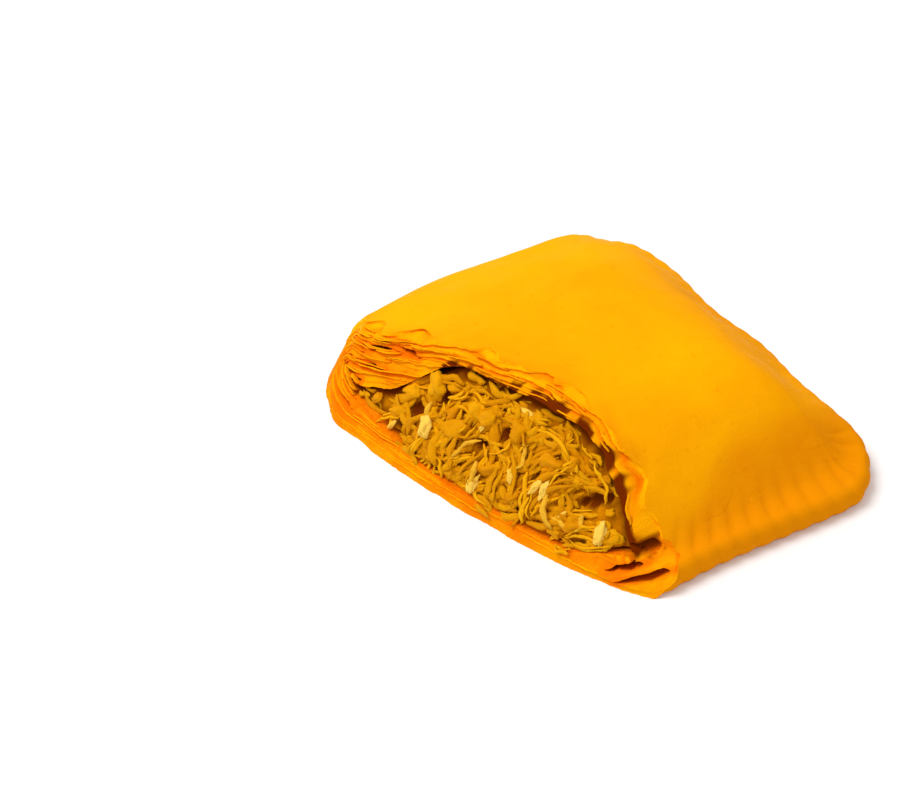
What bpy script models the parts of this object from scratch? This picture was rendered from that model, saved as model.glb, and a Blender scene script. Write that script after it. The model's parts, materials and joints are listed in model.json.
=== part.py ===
# Half of a jamaican patty, cut across: a flaky turnover crust round a shredded meat filling.
# Metres, +Z up. The fold runs along X with the cut on the -X side, and Y runs from the crimped
# front (-Y) to the fold (+Y). The origin is on the base, in the middle of the half's box.
# The shape is worked out in a plan frame whose y is 0 at the crimped front, and moved at the end.

import math
import random

import bmesh
import bpy
from mathutils import Matrix, Vector, noise

MM = 0.001

# Middle of the finished half's box in the plan frame, where the origin goes
MIDDLE_X = -9.95 * MM
MIDDLE_Y = 51.54 * MM

# Plan: four sides, front (crimped), end (crimped), fold, and a hidden side that the cut removes
WIDTH = 102.4 * MM
END_AT_CRIMP = 38.0 * MM
END_AT_FOLD = 32.8 * MM
HIDDEN_AT_CRIMP = -38.0 * MM
HIDDEN_AT_FOLD = -68.0 * MM
CORNER_RADII = (5.0 * MM, 13.0 * MM, 20.0 * MM, 5.0 * MM)
SHARPEST_CORNER = 2.0 * MM
CORNER_STEPS = 4
FOLD_CORNER_STEPS = 3

# Heights: a flat rim in front, a thicker one at the end, a round nose at the fold, a dome between them
CROWN = 31.0 * MM
RIM = 6.6 * MM
END_RIM = 9.4 * MM
END_TURN_START = 4.0 * MM
END_TURN = 24.0 * MM
NOSE = 13.6 * MM
NOSE_AT_END = 9.8 * MM
NOSE_THINS_OVER = 50.0 * MM
RIM_WIDTH = 7.0 * MM
CRIMP_RISE = 33.0 * MM
END_RIM_WIDTH = 4.0 * MM
END_RISE = 29.0 * MM
FOLD_FLAT = 2.0 * MM
FOLD_RISE = 66.0 * MM
FOLD_RISE_POWER = 0.85
CROWN_BLEND = 2.5 * MM
HIP_BLEND = 3.0 * MM
HIP_BLEND_LEAST = 0.05 * MM
FOLD_TURN = 14.0 * MM
FOLD_TURN_SHARPNESS = 1.2
SIDE_LEVEL = 0.45
RIM_ROUND = 2.5 * MM
NOSE_ROUND = 6.7 * MM
RIM_UNDERCUT = 1.3 * MM
NOSE_UNDERCUT = 6.0 * MM
SURFACE_WAVE = 0.5 * MM
SURFACE_WAVE_LENGTH = 22.0 * MM

# Crimping: fork marks across the rim, and scallops with a thumb dent at each notch on the end side.
# The fold bows out a little in the middle. The front lies back at the cut and swells at the far end.
FORK_PITCH = 4.9 * MM
FORK_DEPTH = 0.8 * MM
FORK_SHARPNESS = 1.5
FORK_EASE_IN = 1.75 * MM
FORK_REACH = 9.45 * MM
FORK_EASE_OUT = 3.5 * MM
FORK_FADE = 30.0 * MM
FORK_ON_END = 0.25
FORK_EDGE_WAVE = 0.35 * MM
SCALLOP_PITCH = 32.0 * MM
SCALLOP_START = 14.0 * MM
SCALLOP_DEPTH = 1.8 * MM
FOLD_BOW = 2.0 * MM
FOLD_BOW_MIDDLE = -20.0 * MM
FOLD_BOW_SPREAD = 28.0 * MM
FRONT_SET_BACK = 2.0 * MM
FRONT_SWELL = 1.5 * MM
FRONT_TURN_START = 18.0 * MM
FRONT_TURN = 45.0 * MM
FRONT_FADE = 10.0 * MM
DENT_DEPTH = 1.4 * MM
DENT_INSET = 7.0 * MM
DENT_SPREAD = 4.5 * MM
DENT_INNER_SHARE = 0.25
CRIMP_FADE = 14.0 * MM

# Pocket for the filling: a lens in section, with thick folded layers of crust on its fold side
POCKET_INSET_CRIMP = 10.5 * MM
POCKET_INSET_FOLD = 18.0 * MM
POCKET_INSET_HIDDEN = 2.0 * MM
FLOOR = 2.9 * MM
FLOOR_RISE_CRIMP = 4.0 * MM
FLOOR_RISE_CRIMP_REACH = 13.0 * MM
FLOOR_RISE_FOLD = 3.6 * MM
FLOOR_RISE_FOLD_REACH = 28.0 * MM
ROOF = 3.8 * MM
ROOF_LEAST = 2.6 * MM
FOLD_ROOF = 8.0 * MM
FOLD_ROOF_START = 24.0 * MM
FOLD_ROOF_REACH = 13.0 * MM
POCKET_EDGE = 1.4 * MM
POCKET_CORNER_SHARE = 0.1
ROOM_GAP = 0.4 * MM
FILLING_GAP = 0.6 * MM
ROOF_GAP = 1.9 * MM
ROOF_GAP_REACH = 12.0 * MM
ROOF_GAP_SHARE = 0.65
ROOF_GAP_WAVE = 0.6
ROOF_GAP_ROOM = 5.7 * MM

# Cut: a bowed, sloping face whose two ends curve back
CUT_AT_CRIMP = -27.5 * MM
CUT_AT_FOLD = -60.0 * MM
CUT_SLOPE = math.tan(math.radians(36.3))
CUT_BOW = 5.2 * MM
CUT_CRIMP_TURN = 4.0 * MM
CUT_CRIMP_TURN_SHARE = 0.12
CUT_FOLD_TURN = 13.2 * MM
CUT_FOLD_TURN_SHARE = 0.2
RAGGED_FACE = 0.7 * MM
RAGGED_FACE_LENGTH = 5.4 * MM
RAGGED_FACE_SQUEEZE = 1.6
RAGGED_EDGE = 1.5 * MM
RAGGED_LENGTH = 9.0 * MM
TOP_LAYERS = 5.0 * MM
FILLING_RECESS_TOP = 1.4 * MM
FILLING_RECESS_FLOOR = 0.3 * MM
FILLING_BULGE = 1.6 * MM
BULGE_ROOM = 7.0 * MM
LUMP_RELIEF = 1.2 * MM
LUMP_LENGTH = 6.0 * MM

# Bites out of the crust's top edge where outer layers broke off: distance from the crimped front and
# depth, in millimetres
BITES = ((41.0, 1.8), (20.0, 2.8), (6.0, 2.4), (79.0, 2.2))
BITE_SPREAD = 4.5 * MM

# Cracks between the crust's layers: distance from the crimped front and height of both ends, in
# millimetres
CRACKS = (
    ((13.5, 2.6), (8.0, 6.4)),
    ((10.5, 1.3), (3.6, 5.2)),
    ((97.0, 6.5), (84.5, 10.0)),
    ((89.0, 11.6), (80.5, 14.8)),
    ((91.0, 14.2), (82.0, 18.4)),
    ((94.5, 4.0), (82.5, 4.6)),
    ((80.5, 19.4), (74.0, 20.6)),
)
CRACK_DEPTH = 5.0 * MM
CRACK_HALF_GAP = 0.5 * MM
CRACK_SIDES = 12
CRACK_RINGS = 6

# Filling: pale chunks at set places on the cut, then lumps and shreds spread by rule. Each chunk has its
# distance from the crimped front, height, length and breadth in millimetres, and its turn in degrees.
PALE_CHUNKS = (
    (63.7, 10.2, 7.5, 4.2, 60.0),
    (47.7, 5.6, 7.5, 3.8, 120.0),
    (19.6, 9.0, 8.0, 3.8, 115.0),
    (35.9, 16.0, 5.0, 3.6, 30.0),
)
PALE_WOBBLE = 0.2
PALE_ROUNDS = 2
LUMP_SPACING = 8.5 * MM
LUMP_RADII = (1.8 * MM, 3.0 * MM)
LUMP_STRETCHES = (1.0, 1.6)
LUMP_FLATNESS = 0.8
LUMP_SUNK = 0.3
LUMP_WOBBLE = 0.5
LUMP_ROUNDS = 1
WOBBLE_SCALE = 1.3
WOBBLE_SHIFT = 3.0 * MM
SHRED_SPACING = 5.3 * MM
SHRED_LENGTHS = (7.0 * MM, 15.0 * MM)
SHRED_RADII = (0.65 * MM, 1.15 * MM)
SHRED_MARGIN = 0.9 * MM
SHORTEST_SHRED = 4.5 * MM
SHRED_SHORTENING = 0.85
SHRED_TRIES = 3
SHRED_CURL = 0.28
SHRED_LEAST_BEND = 0.2 * MM
SHRED_TILT = 0.2
SHRED_LIFTS = (-0.1, 0.8)
SHRED_TIP = 0.7
SHRED_TAPER = 0.45
SHRED_BEND_MIDDLE = 0.35
SHRED_SIDES = 5
SHRED_CUTS = 2
JITTER = (0.1, 0.9)
ROW_SQUEEZE = 1.2
SEED = 7

# Mesh density
FRONT_CELLS = 16
END_CELLS = 20
CRIMP_CUTS = 3
POCKET_FRONT_CELLS = 12
POCKET_END_CELLS = 22
INNER_INSET = 14.0 * MM
TOP_RINGS = (10.5 * MM, 7.5 * MM, 4.5 * MM, 2.0 * MM, 0.5 * MM)
UNDER_ANGLES = (0.0, 50.0, 90.0)
CUT_ACROSS = 40
CUT_UP = 15
CUT_MARGIN = 8.0 * MM
CUT_REACH = 90.0 * MM
SQUARE_EDGE = 1.0 - 1e-6
SHARP_ANGLE = 40.0

# Finishes
CRUST_COLOR = (1.0, 0.45, 0.02)
CRUST_ROUGHNESS = 0.5
FILLING_COLOR = (0.45, 0.22, 0.03)
FILLING_ROUGHNESS = 0.4


def lerp(low, high, share):
    return low + (high - low) * share


def clamp(value):
    return min(max(value, 0.0), 1.0)


def smooth(value):
    value = clamp(value)
    return value * value * (3.0 - 2.0 * value)


# Plan outline

def inset_corners(inset):
    """The plan's four corners with every side moved inwards."""
    corners = [
        Vector((HIDDEN_AT_CRIMP, 0.0)),
        Vector((END_AT_CRIMP, 0.0)),
        Vector((END_AT_FOLD, WIDTH)),
        Vector((HIDDEN_AT_FOLD, WIDTH)),
    ]
    moved = []
    for index, corner in enumerate(corners):
        before = (corner - corners[index - 1]).normalized()
        after = (corners[(index + 1) % 4] - corner).normalized()
        inward_before = Vector((-before.y, before.x))
        inward_after = Vector((-after.y, after.x))
        mitre = (inward_before + inward_after) / (1.0 + inward_before.dot(inward_after))
        moved.append(corner + mitre * inset)
    return moved


class Outline:
    """The rounded plan outline at one inset: front, arc, end, arc, fold, arc, hidden side, arc."""

    def __init__(self, inset):
        corners = inset_corners(inset)
        arcs = []
        for index, corner in enumerate(corners):
            back = (corners[index - 1] - corner).normalized()
            ahead = (corners[(index + 1) % 4] - corner).normalized()
            half = back.angle(ahead) / 2
            radius = max(CORNER_RADII[index] - inset, SHARPEST_CORNER)
            reach = radius / math.tan(half)
            centre = corner + (back + ahead).normalized() * radius / math.sin(half)
            arcs.append((corner + back * reach, corner + ahead * reach, centre, radius))
        self.pieces = []
        for index in range(4):
            following = arcs[(index + 1) % 4]
            self.pieces.append((arcs[index][1], following[0], None, 0.0))
            self.pieces.append(following)

    def length(self, piece):
        start, end, centre, radius = self.pieces[piece]
        if centre is None:
            return (end - start).length
        return radius * (start - centre).angle(end - centre)

    def point(self, piece, share):
        """A point on the outline and the outward direction there."""
        start, end, centre, radius = self.pieces[piece]
        if centre is None:
            run = (end - start).normalized()
            return start.lerp(end, share), Vector((run.y, -run.x))
        turn = (start - centre).angle(end - centre) * share
        spoke = Matrix.Rotation(turn, 2) @ (start - centre)
        return centre + spoke, spoke.normalized()


EDGE = Outline(0.0)
PIECE_STARTS = [sum(EDGE.length(piece) for piece in range(end)) for end in range(9)]
ROUND_TRIP = PIECE_STARTS[8]
CRIMP_END = PIECE_STARTS[4]
BOW_AT = PIECE_STARTS[4] + EDGE.pieces[4][0].x - FOLD_BOW_MIDDLE


def side_middles():
    """Distance round the outline to the middle of each corner arc, starting before the front side."""
    middles = [-EDGE.length(7) / 2]
    for arc in (1, 3, 5, 7):
        middles.append(PIECE_STARTS[arc] + EDGE.length(arc) / 2)
    return middles


SIDE_MIDDLES = side_middles()


def along(side, share):
    """Distance round the outline, for a side and how far along it."""
    return lerp(SIDE_MIDDLES[side], SIDE_MIDDLES[side + 1], share)


def piece_at(distance):
    distance %= ROUND_TRIP
    piece = max(index for index in range(8) if PIECE_STARTS[index] <= distance)
    return piece, (distance - PIECE_STARTS[piece]) / EDGE.length(piece)


def square_place(co):
    """Side, share along it and distance from the middle, for a point of a square from -1 to 1."""
    out = max(abs(co.x), abs(co.y))
    if out < 1.0 - SQUARE_EDGE:
        return 0, 0.0, 0.0
    across, up = co.x / out, co.y / out
    if up < -SQUARE_EDGE and across < SQUARE_EDGE:
        return 0, (across + 1.0) / 2, out
    if across > SQUARE_EDGE and up < SQUARE_EDGE:
        return 1, (up + 1.0) / 2, out
    if up > SQUARE_EDGE and across > -SQUARE_EDGE:
        return 2, (1.0 - across) / 2, out
    return 3, (1.0 - up) / 2, out


# Heights

def distance_to(point, start, end):
    run = end - start
    share = clamp((point - start).dot(run) / run.length_squared)
    return (point - start - run * share).length


def route(distances):
    return [EDGE.point(*piece_at(distance))[0] for distance in distances]


def steps_between(start, end, count):
    return [lerp(start, end, step / count) for step in range(count + 1)]


END_START = PIECE_STARTS[1] + EDGE.length(1) / 2
FOLD_START = PIECE_STARTS[3] + EDGE.length(3) / 2
FRONT_ROUTE = route([0.0] + steps_between(PIECE_STARTS[1], END_START, CORNER_STEPS))
END_ROUTE = route(
    steps_between(END_START, PIECE_STARTS[2], CORNER_STEPS)
    + steps_between(PIECE_STARTS[3], FOLD_START, FOLD_CORNER_STEPS)
)
FOLD_ROUTE = route(steps_between(FOLD_START, PIECE_STARTS[4], FOLD_CORNER_STEPS) + [PIECE_STARTS[5]])
FRONT_ROUTE[0] = FRONT_ROUTE[0] + Vector((-WIDTH, 0.0))
FOLD_ROUTE[-1] = FOLD_ROUTE[-1] + Vector((-WIDTH, 0.0))


def edge_distances(x, y):
    """Distance to the crimped front, to the crimped end and to the fold."""
    point = Vector((x, y))
    return [
        min(distance_to(point, *pair) for pair in zip(edge, edge[1:]))
        for edge in (FRONT_ROUTE, END_ROUTE, FOLD_ROUTE)
    ]


def soft_min(first, second, blend):
    return min(first, second) - blend * math.log(1.0 + math.exp(-abs(first - second) / blend))


def rise(start, share, power=1.0):
    """A height that climbs from start to the crown as share goes from 0 to 1."""
    return start + (CROWN - start) * math.sin(math.pi / 2 * clamp(share)) ** power


def end_share_at(y):
    return smooth((y - END_TURN_START) / END_TURN)


def nose_height(x):
    return lerp(NOSE_AT_END, NOSE, smooth((END_AT_FOLD - x) / NOSE_THINS_OVER))


def edge_height(x, y):
    """Thickness of the dough at the outline."""
    return lerp(lerp(RIM, END_RIM, end_share_at(y)), nose_height(x), fold_share_at(y))


def dome(x, y):
    """Height of the crust's top, before the fork marks and the rounding of its edge."""
    front, end, folded = edge_distances(x, y)
    from_front = rise(RIM, (front - RIM_WIDTH) / CRIMP_RISE)
    from_end = rise(lerp(RIM, END_RIM, end_share_at(y)), (end - END_RIM_WIDTH) / END_RISE)
    risen = clamp((min(from_front, from_end) - RIM) / (CROWN - RIM))
    from_crimp = soft_min(from_front, from_end, HIP_BLEND * 4.0 * risen * (1.0 - risen) + HIP_BLEND_LEAST)
    from_fold = rise(nose_height(x), (folded - FOLD_FLAT) / FOLD_RISE, FOLD_RISE_POWER)
    wave = noise.noise(Vector((x, y, 0.0)) / SURFACE_WAVE_LENGTH)
    wave *= smooth((min(front, end, folded) - RIM_WIDTH) / RIM_WIDTH)
    return soft_min(from_crimp, from_fold, CROWN_BLEND) + SURFACE_WAVE * wave


def fold_share_at(y):
    """0 where the edge is crimped, 1 where it is the round fold."""
    return smooth((y - (WIDTH - FOLD_TURN)) / FOLD_TURN * FOLD_TURN_SHARPNESS)


def crimp_share_at(distance):
    """1 along the crimped edge, easing to 0 where it meets the fold."""
    if distance < 0.0 or distance > CRIMP_END:
        return 0.0
    return smooth((CRIMP_END - distance) / CRIMP_FADE)


def notch_at(distance):
    """1 at each notch between scallops on the end side, 0 at the lobes."""
    on_end = smooth((distance - PIECE_STARTS[1]) / EDGE.length(1)) * crimp_share_at(distance)
    phase = (distance - PIECE_STARTS[2] - SCALLOP_START) / SCALLOP_PITCH
    return on_end * (0.5 + 0.5 * math.cos(2 * math.pi * phase))


def fork_at(distance):
    """1 in the middle of each fork mark, 0 between two."""
    wave = 0.5 + 0.5 * math.cos(2 * math.pi * distance / FORK_PITCH)
    past_corner = smooth((distance - PIECE_STARTS[1]) / FORK_FADE)
    return wave ** FORK_SHARPNESS * crimp_share_at(distance) * lerp(1.0, FORK_ON_END, past_corner)


def front_push(distance):
    """How far the crimped front lies back from a straight line, less where it swells out."""
    if distance > ROUND_TRIP / 2:
        distance -= ROUND_TRIP
    present = smooth(1.0 + distance / FRONT_FADE) * smooth((PIECE_STARTS[2] - distance) / EDGE.length(1))
    return present * lerp(FRONT_SET_BACK, -FRONT_SWELL, smooth((distance - FRONT_TURN_START) / FRONT_TURN))


def edge_push(distance, inset):
    """How far the fork, the scallops, the front's sway and the bow of the fold move the edge inwards."""
    near = smooth(1.0 - inset / INNER_INSET)
    bow = FOLD_BOW * smooth(1.0 - abs(distance - BOW_AT) / FOLD_BOW_SPREAD)
    marks = SCALLOP_DEPTH * notch_at(distance) + FORK_EDGE_WAVE * fork_at(distance)
    return near * (marks + front_push(distance) - bow)


def press(distance, inset):
    """Depth of the fork marks and the thumb dents."""
    across_rim = smooth(inset / FORK_EASE_IN) * smooth((FORK_REACH - inset) / FORK_EASE_OUT)
    dent = math.exp(-((inset - DENT_INSET) / DENT_SPREAD) ** 2) * notch_at(distance) ** 2
    return FORK_DEPTH * fork_at(distance) * across_rim + DENT_DEPTH * dent


def plan_point(distance, inset):
    spot, outward = Outline(inset).point(*piece_at(distance))
    return spot - outward * edge_push(distance, inset)


def top_point(distance, inset):
    """A point of the crust's top, near its edge."""
    spot = plan_point(distance, inset)
    side = SIDE_LEVEL * edge_height(spot.x, spot.y)
    edge = clamp(inset / lerp(RIM_ROUND, NOSE_ROUND, fold_share_at(spot.y)))
    height = dome(spot.x, spot.y) - press(distance, inset)
    return Vector((spot.x, spot.y, side + (height - side) * math.sqrt(1.0 - (1.0 - edge) ** 2)))


def under_point(distance, angle):
    """A point of the rounding below the edge: angle 0 is the side, and 90 the base."""
    edge = plan_point(distance, 0.0)
    undercut = lerp(RIM_UNDERCUT, NOSE_UNDERCUT, fold_share_at(edge.y))
    side = SIDE_LEVEL * edge_height(edge.x, edge.y)
    turn = math.radians(angle)
    spot = plan_point(distance, undercut * (1.0 - math.cos(turn)))
    return Vector((spot.x, spot.y, side * (1.0 - math.sin(turn))))


# Mesh helpers

def border_ring(bm):
    """The border vertices of a grid from -1 to 1, in order, with their distance round the outline."""
    places = []
    for vert in bm.verts:
        if vert.is_boundary:
            side, share, _ = square_place(vert.co)
            places.append((side + share, along(side, share), vert))
    places.sort(key=lambda place: place[0])
    return [vert for _, _, vert in places], [distance for _, distance, _ in places]


def ring_edges(bm, ring):
    return [bm.edges.get((vert, ring[index - 1])) for index, vert in enumerate(ring)]


def widen(bm, ring):
    """Extrudes a closed ring of border edges and returns the new ring in the same order."""
    made = set(bmesh.ops.extrude_edge_only(bm, edges=ring_edges(bm, ring))["geom"])
    return [
        next(edge.other_vert(vert) for edge in vert.link_edges if edge.other_vert(vert) in made)
        for vert in ring
    ]


def finish_mesh(bm, name, collection):
    """Closes up a bmesh with its faces outwards and returns it as a new object."""
    bmesh.ops.triangulate(bm, faces=bm.faces[:], quad_method="FIXED")
    bmesh.ops.recalc_face_normals(bm, faces=bm.faces[:])
    if bm.calc_volume(signed=True) < 0.0:
        bmesh.ops.reverse_faces(bm, faces=bm.faces[:])
    mesh = bpy.data.meshes.new(name)
    bm.to_mesh(mesh)
    bm.free()
    obj = bpy.data.objects.new(name, mesh)
    collection.objects.link(obj)
    return obj


def drop_scraps(obj):
    """Keeps the largest connected piece of an object's mesh."""
    bm = bmesh.new()
    bm.from_mesh(obj.data)
    left = set(bm.verts)
    pieces = []
    while left:
        piece = set()
        front = [left.pop()]
        while front:
            vert = front.pop()
            piece.add(vert)
            for edge in vert.link_edges:
                other = edge.other_vert(vert)
                if other in left:
                    left.remove(other)
                    front.append(other)
        pieces.append(piece)
    pieces.sort(key=len, reverse=True)
    for piece in pieces[1:]:
        bmesh.ops.delete(bm, geom=list(piece), context="VERTS")
    bm.to_mesh(obj.data)
    bm.free()


def combine(target, operation, tools, solver):
    """Cuts or joins a whole collection into the target in one Boolean, then removes its objects."""
    modifier = target.modifiers.new("combine", "BOOLEAN")
    modifier.operation = operation
    modifier.solver = solver
    modifier.operand_type = "COLLECTION"
    modifier.collection = tools
    evaluated = target.evaluated_get(bpy.context.evaluated_depsgraph_get())
    mesh = bpy.data.meshes.new_from_object(evaluated)
    target.modifiers.clear()
    target.data = mesh
    for tool in list(tools.objects):
        bpy.data.objects.remove(tool)
    drop_scraps(target)


def new_collection(name, hidden=False):
    collection = bpy.data.collections.new(name)
    bpy.context.scene.collection.children.link(collection)
    collection.hide_render = hidden
    return collection


# Dough and pocket

def crust_form(collection):
    """The whole parcel of dough, before the pocket and the cut."""
    bm = bmesh.new()
    bmesh.ops.create_grid(bm, x_segments=FRONT_CELLS, y_segments=END_CELLS, size=1.0)
    crimped = [
        edge for edge in bm.edges
        if all(vert.co.y < -SQUARE_EDGE for vert in edge.verts)
        or all(vert.co.x > SQUARE_EDGE for vert in edge.verts)
    ]
    bmesh.ops.subdivide_edges(bm, edges=crimped, cuts=CRIMP_CUTS)
    ring, distances = border_ring(bm)
    middle = (plan_point(along(0, 0.5), INNER_INSET) + plan_point(along(2, 0.5), INNER_INSET)) / 2
    for vert in bm.verts:
        side, share, out = square_place(vert.co)
        distance = along(side, share)
        spot = middle.lerp(plan_point(distance, INNER_INSET), out)
        dent = press(distance, INNER_INSET) * smooth(1.0 - (1.0 - out) / DENT_INNER_SHARE)
        vert.co = (spot.x, spot.y, dome(spot.x, spot.y) - dent)
    for inset in TOP_RINGS:
        ring = widen(bm, ring)
        for vert, distance in zip(ring, distances):
            vert.co = top_point(distance, inset)
    for angle in UNDER_ANGLES:
        ring = widen(bm, ring)
        for vert, distance in zip(ring, distances):
            vert.co = under_point(distance, angle)
    bmesh.ops.contextual_create(bm, geom=ring_edges(bm, ring))
    return finish_mesh(bm, "pastry_crust", collection)


def pocket_inset(side, share):
    """How far the pocket's edge lies inside the outline, all round."""
    insets = (POCKET_INSET_CRIMP, POCKET_INSET_CRIMP, POCKET_INSET_FOLD, POCKET_INSET_HIDDEN)
    before, own, after = insets[side - 1], insets[side], insets[(side + 1) % 4]
    if share < POCKET_CORNER_SHARE:
        return lerp((before + own) / 2, own, share / POCKET_CORNER_SHARE)
    if share > 1.0 - POCKET_CORNER_SHARE:
        return lerp((own + after) / 2, own, (1.0 - share) / POCKET_CORNER_SHARE)
    return own


def pocket_floor(x, y):
    """Height of the crust's inner face below the filling, rising towards the pocket's edge."""
    front, end, folded = edge_distances(x, y)
    near_crimp = smooth(1.0 - (min(front, end) - POCKET_INSET_CRIMP) / FLOOR_RISE_CRIMP_REACH)
    near_fold = smooth(1.0 - (folded - POCKET_INSET_FOLD) / FLOOR_RISE_FOLD_REACH)
    floor = FLOOR + max(FLOOR_RISE_CRIMP * near_crimp, FLOOR_RISE_FOLD * near_fold)
    return min(floor, dome(x, y) - ROOF_LEAST - POCKET_EDGE)


def pocket_top(x, y):
    """Height of the crust's inner face above the filling: the crust is thicker where its layers fold over."""
    folded = edge_distances(x, y)[2]
    roof = ROOF + FOLD_ROOF * smooth(1.0 - (folded - FOLD_ROOF_START) / FOLD_ROOF_REACH)
    return max(dome(x, y) - roof, pocket_floor(x, y) + POCKET_EDGE)


def filling_top(x, y):
    """Height of the filling, which sank away from the crust near the cut."""
    top = pocket_top(x, y)
    inside = max(x - cut_x(y, top), 0.0)
    sag = ROOF_GAP * math.exp(-inside / ROOF_GAP_REACH)
    sag *= ROOF_GAP_SHARE + ROOF_GAP_WAVE * noise.noise(Vector((y / RAGGED_LENGTH, 0.0, 3.0)))
    room = smooth((top - pocket_floor(x, y) - POCKET_EDGE) / ROOF_GAP_ROOM)
    return top - FILLING_GAP - max(sag, 0.0) * room


def filling_floor(x, y):
    return pocket_floor(x, y) + FILLING_GAP


def room_top(x, y):
    return pocket_top(x, y) - ROOM_GAP


def room_floor(x, y):
    return pocket_floor(x, y) + ROOM_GAP


def pocket_form(name, collection, clearance, floor, top):
    """A closed lens between two heights over the pocket's plan, with a clearance to its edge."""
    bm = bmesh.new()
    bmesh.ops.create_grid(bm, x_segments=POCKET_FRONT_CELLS, y_segments=POCKET_END_CELLS, size=1.0)
    middle = (plan_point(along(0, 0.5), INNER_INSET) + plan_point(along(2, 0.5), INNER_INSET)) / 2
    for vert in bm.verts:
        side, share, out = square_place(vert.co)
        inset = pocket_inset(side, share) + (clearance if vert.is_boundary else 0.0)
        spot = middle.lerp(Outline(inset).point(*piece_at(along(side, share)))[0], out)
        vert.co = (spot.x, spot.y, floor(spot.x, spot.y))
    raised = bmesh.ops.extrude_face_region(bm, geom=bm.faces[:], use_keep_orig=True)["geom"]
    for vert in (item for item in raised if isinstance(item, bmesh.types.BMVert)):
        vert.co.z = top(vert.co.x, vert.co.y)
    return finish_mesh(bm, name, collection)


# Cut

def cut_x(y, z):
    """The plain cut face's x at a distance from the crimped front and a height."""
    share = y / WIDTH
    x = lerp(CUT_AT_CRIMP, CUT_AT_FOLD, share) - CUT_BOW * 4.0 * share * (1.0 - share)
    x += CUT_CRIMP_TURN * clamp(1.0 - share / CUT_CRIMP_TURN_SHARE) ** 2
    x += CUT_FOLD_TURN * clamp(1.0 - (1.0 - share) / CUT_FOLD_TURN_SHARE) ** 2
    return x + CUT_SLOPE * z


def crust_relief(y, z):
    """Roughness of the crust's cut face, growing to a ragged and bitten top edge."""
    face = RAGGED_FACE * noise.noise(Vector((y, z * RAGGED_FACE_SQUEEZE, 0.02)) / RAGGED_FACE_LENGTH)
    edge = RAGGED_EDGE * noise.noise(Vector((y / RAGGED_LENGTH, 0.5, 0.0)))
    edge += sum(depth * MM * math.exp(-((y - spot * MM) / BITE_SPREAD) ** 2) for spot, depth in BITES)
    return face + edge * smooth((z - dome(cut_x(y, z), y)) / TOP_LAYERS + 1.0)


def filling_relief(y, z):
    """The filling's cut face: set back from the crust at its rim, bulging and lumpy inside."""
    x = cut_x(y, z)
    floor, top = pocket_floor(x, y), pocket_top(x, y)
    recess = lerp(FILLING_RECESS_FLOOR, FILLING_RECESS_TOP, clamp((z - floor) / (top - floor)))
    bulge = FILLING_BULGE * smooth(min(z - floor, top - z) / BULGE_ROOM)
    lumps = LUMP_RELIEF * noise.noise(Vector((y, z, 0.05)) / LUMP_LENGTH)
    return recess - bulge + lumps


def cut_tool(name, collection, relief):
    """A block on the -X side of the cut, bounded by the cut face and its relief."""
    bm = bmesh.new()
    bmesh.ops.create_grid(bm, x_segments=CUT_ACROSS, y_segments=CUT_UP, size=0.5)
    for vert in bm.verts:
        y = lerp(-CUT_MARGIN, WIDTH + CUT_MARGIN, vert.co.x + 0.5)
        z = lerp(-CUT_MARGIN, CROWN + CUT_MARGIN, vert.co.y + 0.5)
        vert.co = (cut_x(clamp(y / WIDTH) * WIDTH, z) + relief(y, z), y, z)
    grown = bmesh.ops.extrude_face_region(bm, geom=bm.faces[:], use_keep_orig=True)["geom"]
    for vert in (item for item in grown if isinstance(item, bmesh.types.BMVert)):
        vert.co.x = -CUT_REACH
    return finish_mesh(bm, name, collection)


def crack_tool(name, collection, start, end):
    """A thin lens between two layers of the crust, lying across the cut face."""
    near = Vector((0.0, start[0] * MM, start[1] * MM))
    far = Vector((0.0, end[0] * MM, end[1] * MM))
    for spot in (near, far):
        spot.x = cut_x(spot.y, spot.z)
    run = far - near
    thick = run.cross(Vector((1.0, 0.0, 0.0))).normalized()
    depth = thick.cross(run).normalized()
    bm = bmesh.new()
    bmesh.ops.create_uvsphere(bm, u_segments=CRACK_SIDES, v_segments=CRACK_RINGS, radius=1.0)
    frame = Matrix((run / 2, depth * CRACK_DEPTH, thick * CRACK_HALF_GAP)).transposed()
    bmesh.ops.transform(bm, matrix=Matrix.Translation((near + far) / 2) @ frame.to_4x4(), verts=bm.verts)
    return finish_mesh(bm, name, collection)


# Filling pieces

def face_frame(y, z):
    """Directions across, up and out of the cut face at a point of it."""
    step = 1.0 * MM
    spot = Vector((cut_x(y, z), y, z))
    across = (Vector((cut_x(y + step, z), y + step, z)) - spot).normalized()
    up = (Vector((cut_x(y, z + step), y, z + step)) - spot).normalized()
    out = up.cross(across).normalized()
    if out.x > 0.0:
        out.negate()
    return spot, across, up, out


def fits(y, z, margin):
    """Whether a point of the cut face is on the filling, clear of the crust."""
    if y < POCKET_INSET_CRIMP + margin or y > WIDTH - POCKET_INSET_FOLD - margin:
        return False
    x = cut_x(y, z)
    return filling_floor(x, y) + margin < z < filling_top(x, y) - margin


def chunk(name, collection, centre, axes, wobble, rounds):
    """A lump: a sphere stretched along three axes, with a wobbly surface."""
    bm = bmesh.new()
    bmesh.ops.create_icosphere(bm, subdivisions=rounds, radius=1.0)
    for vert in bm.verts:
        push = 1.0 + wobble * noise.noise(vert.co * WOBBLE_SCALE + centre / WOBBLE_SHIFT)
        spot = vert.co * push
        vert.co = centre + axes[0] * spot.x + axes[1] * spot.y + axes[2] * spot.z
    return finish_mesh(bm, name, collection)


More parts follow.
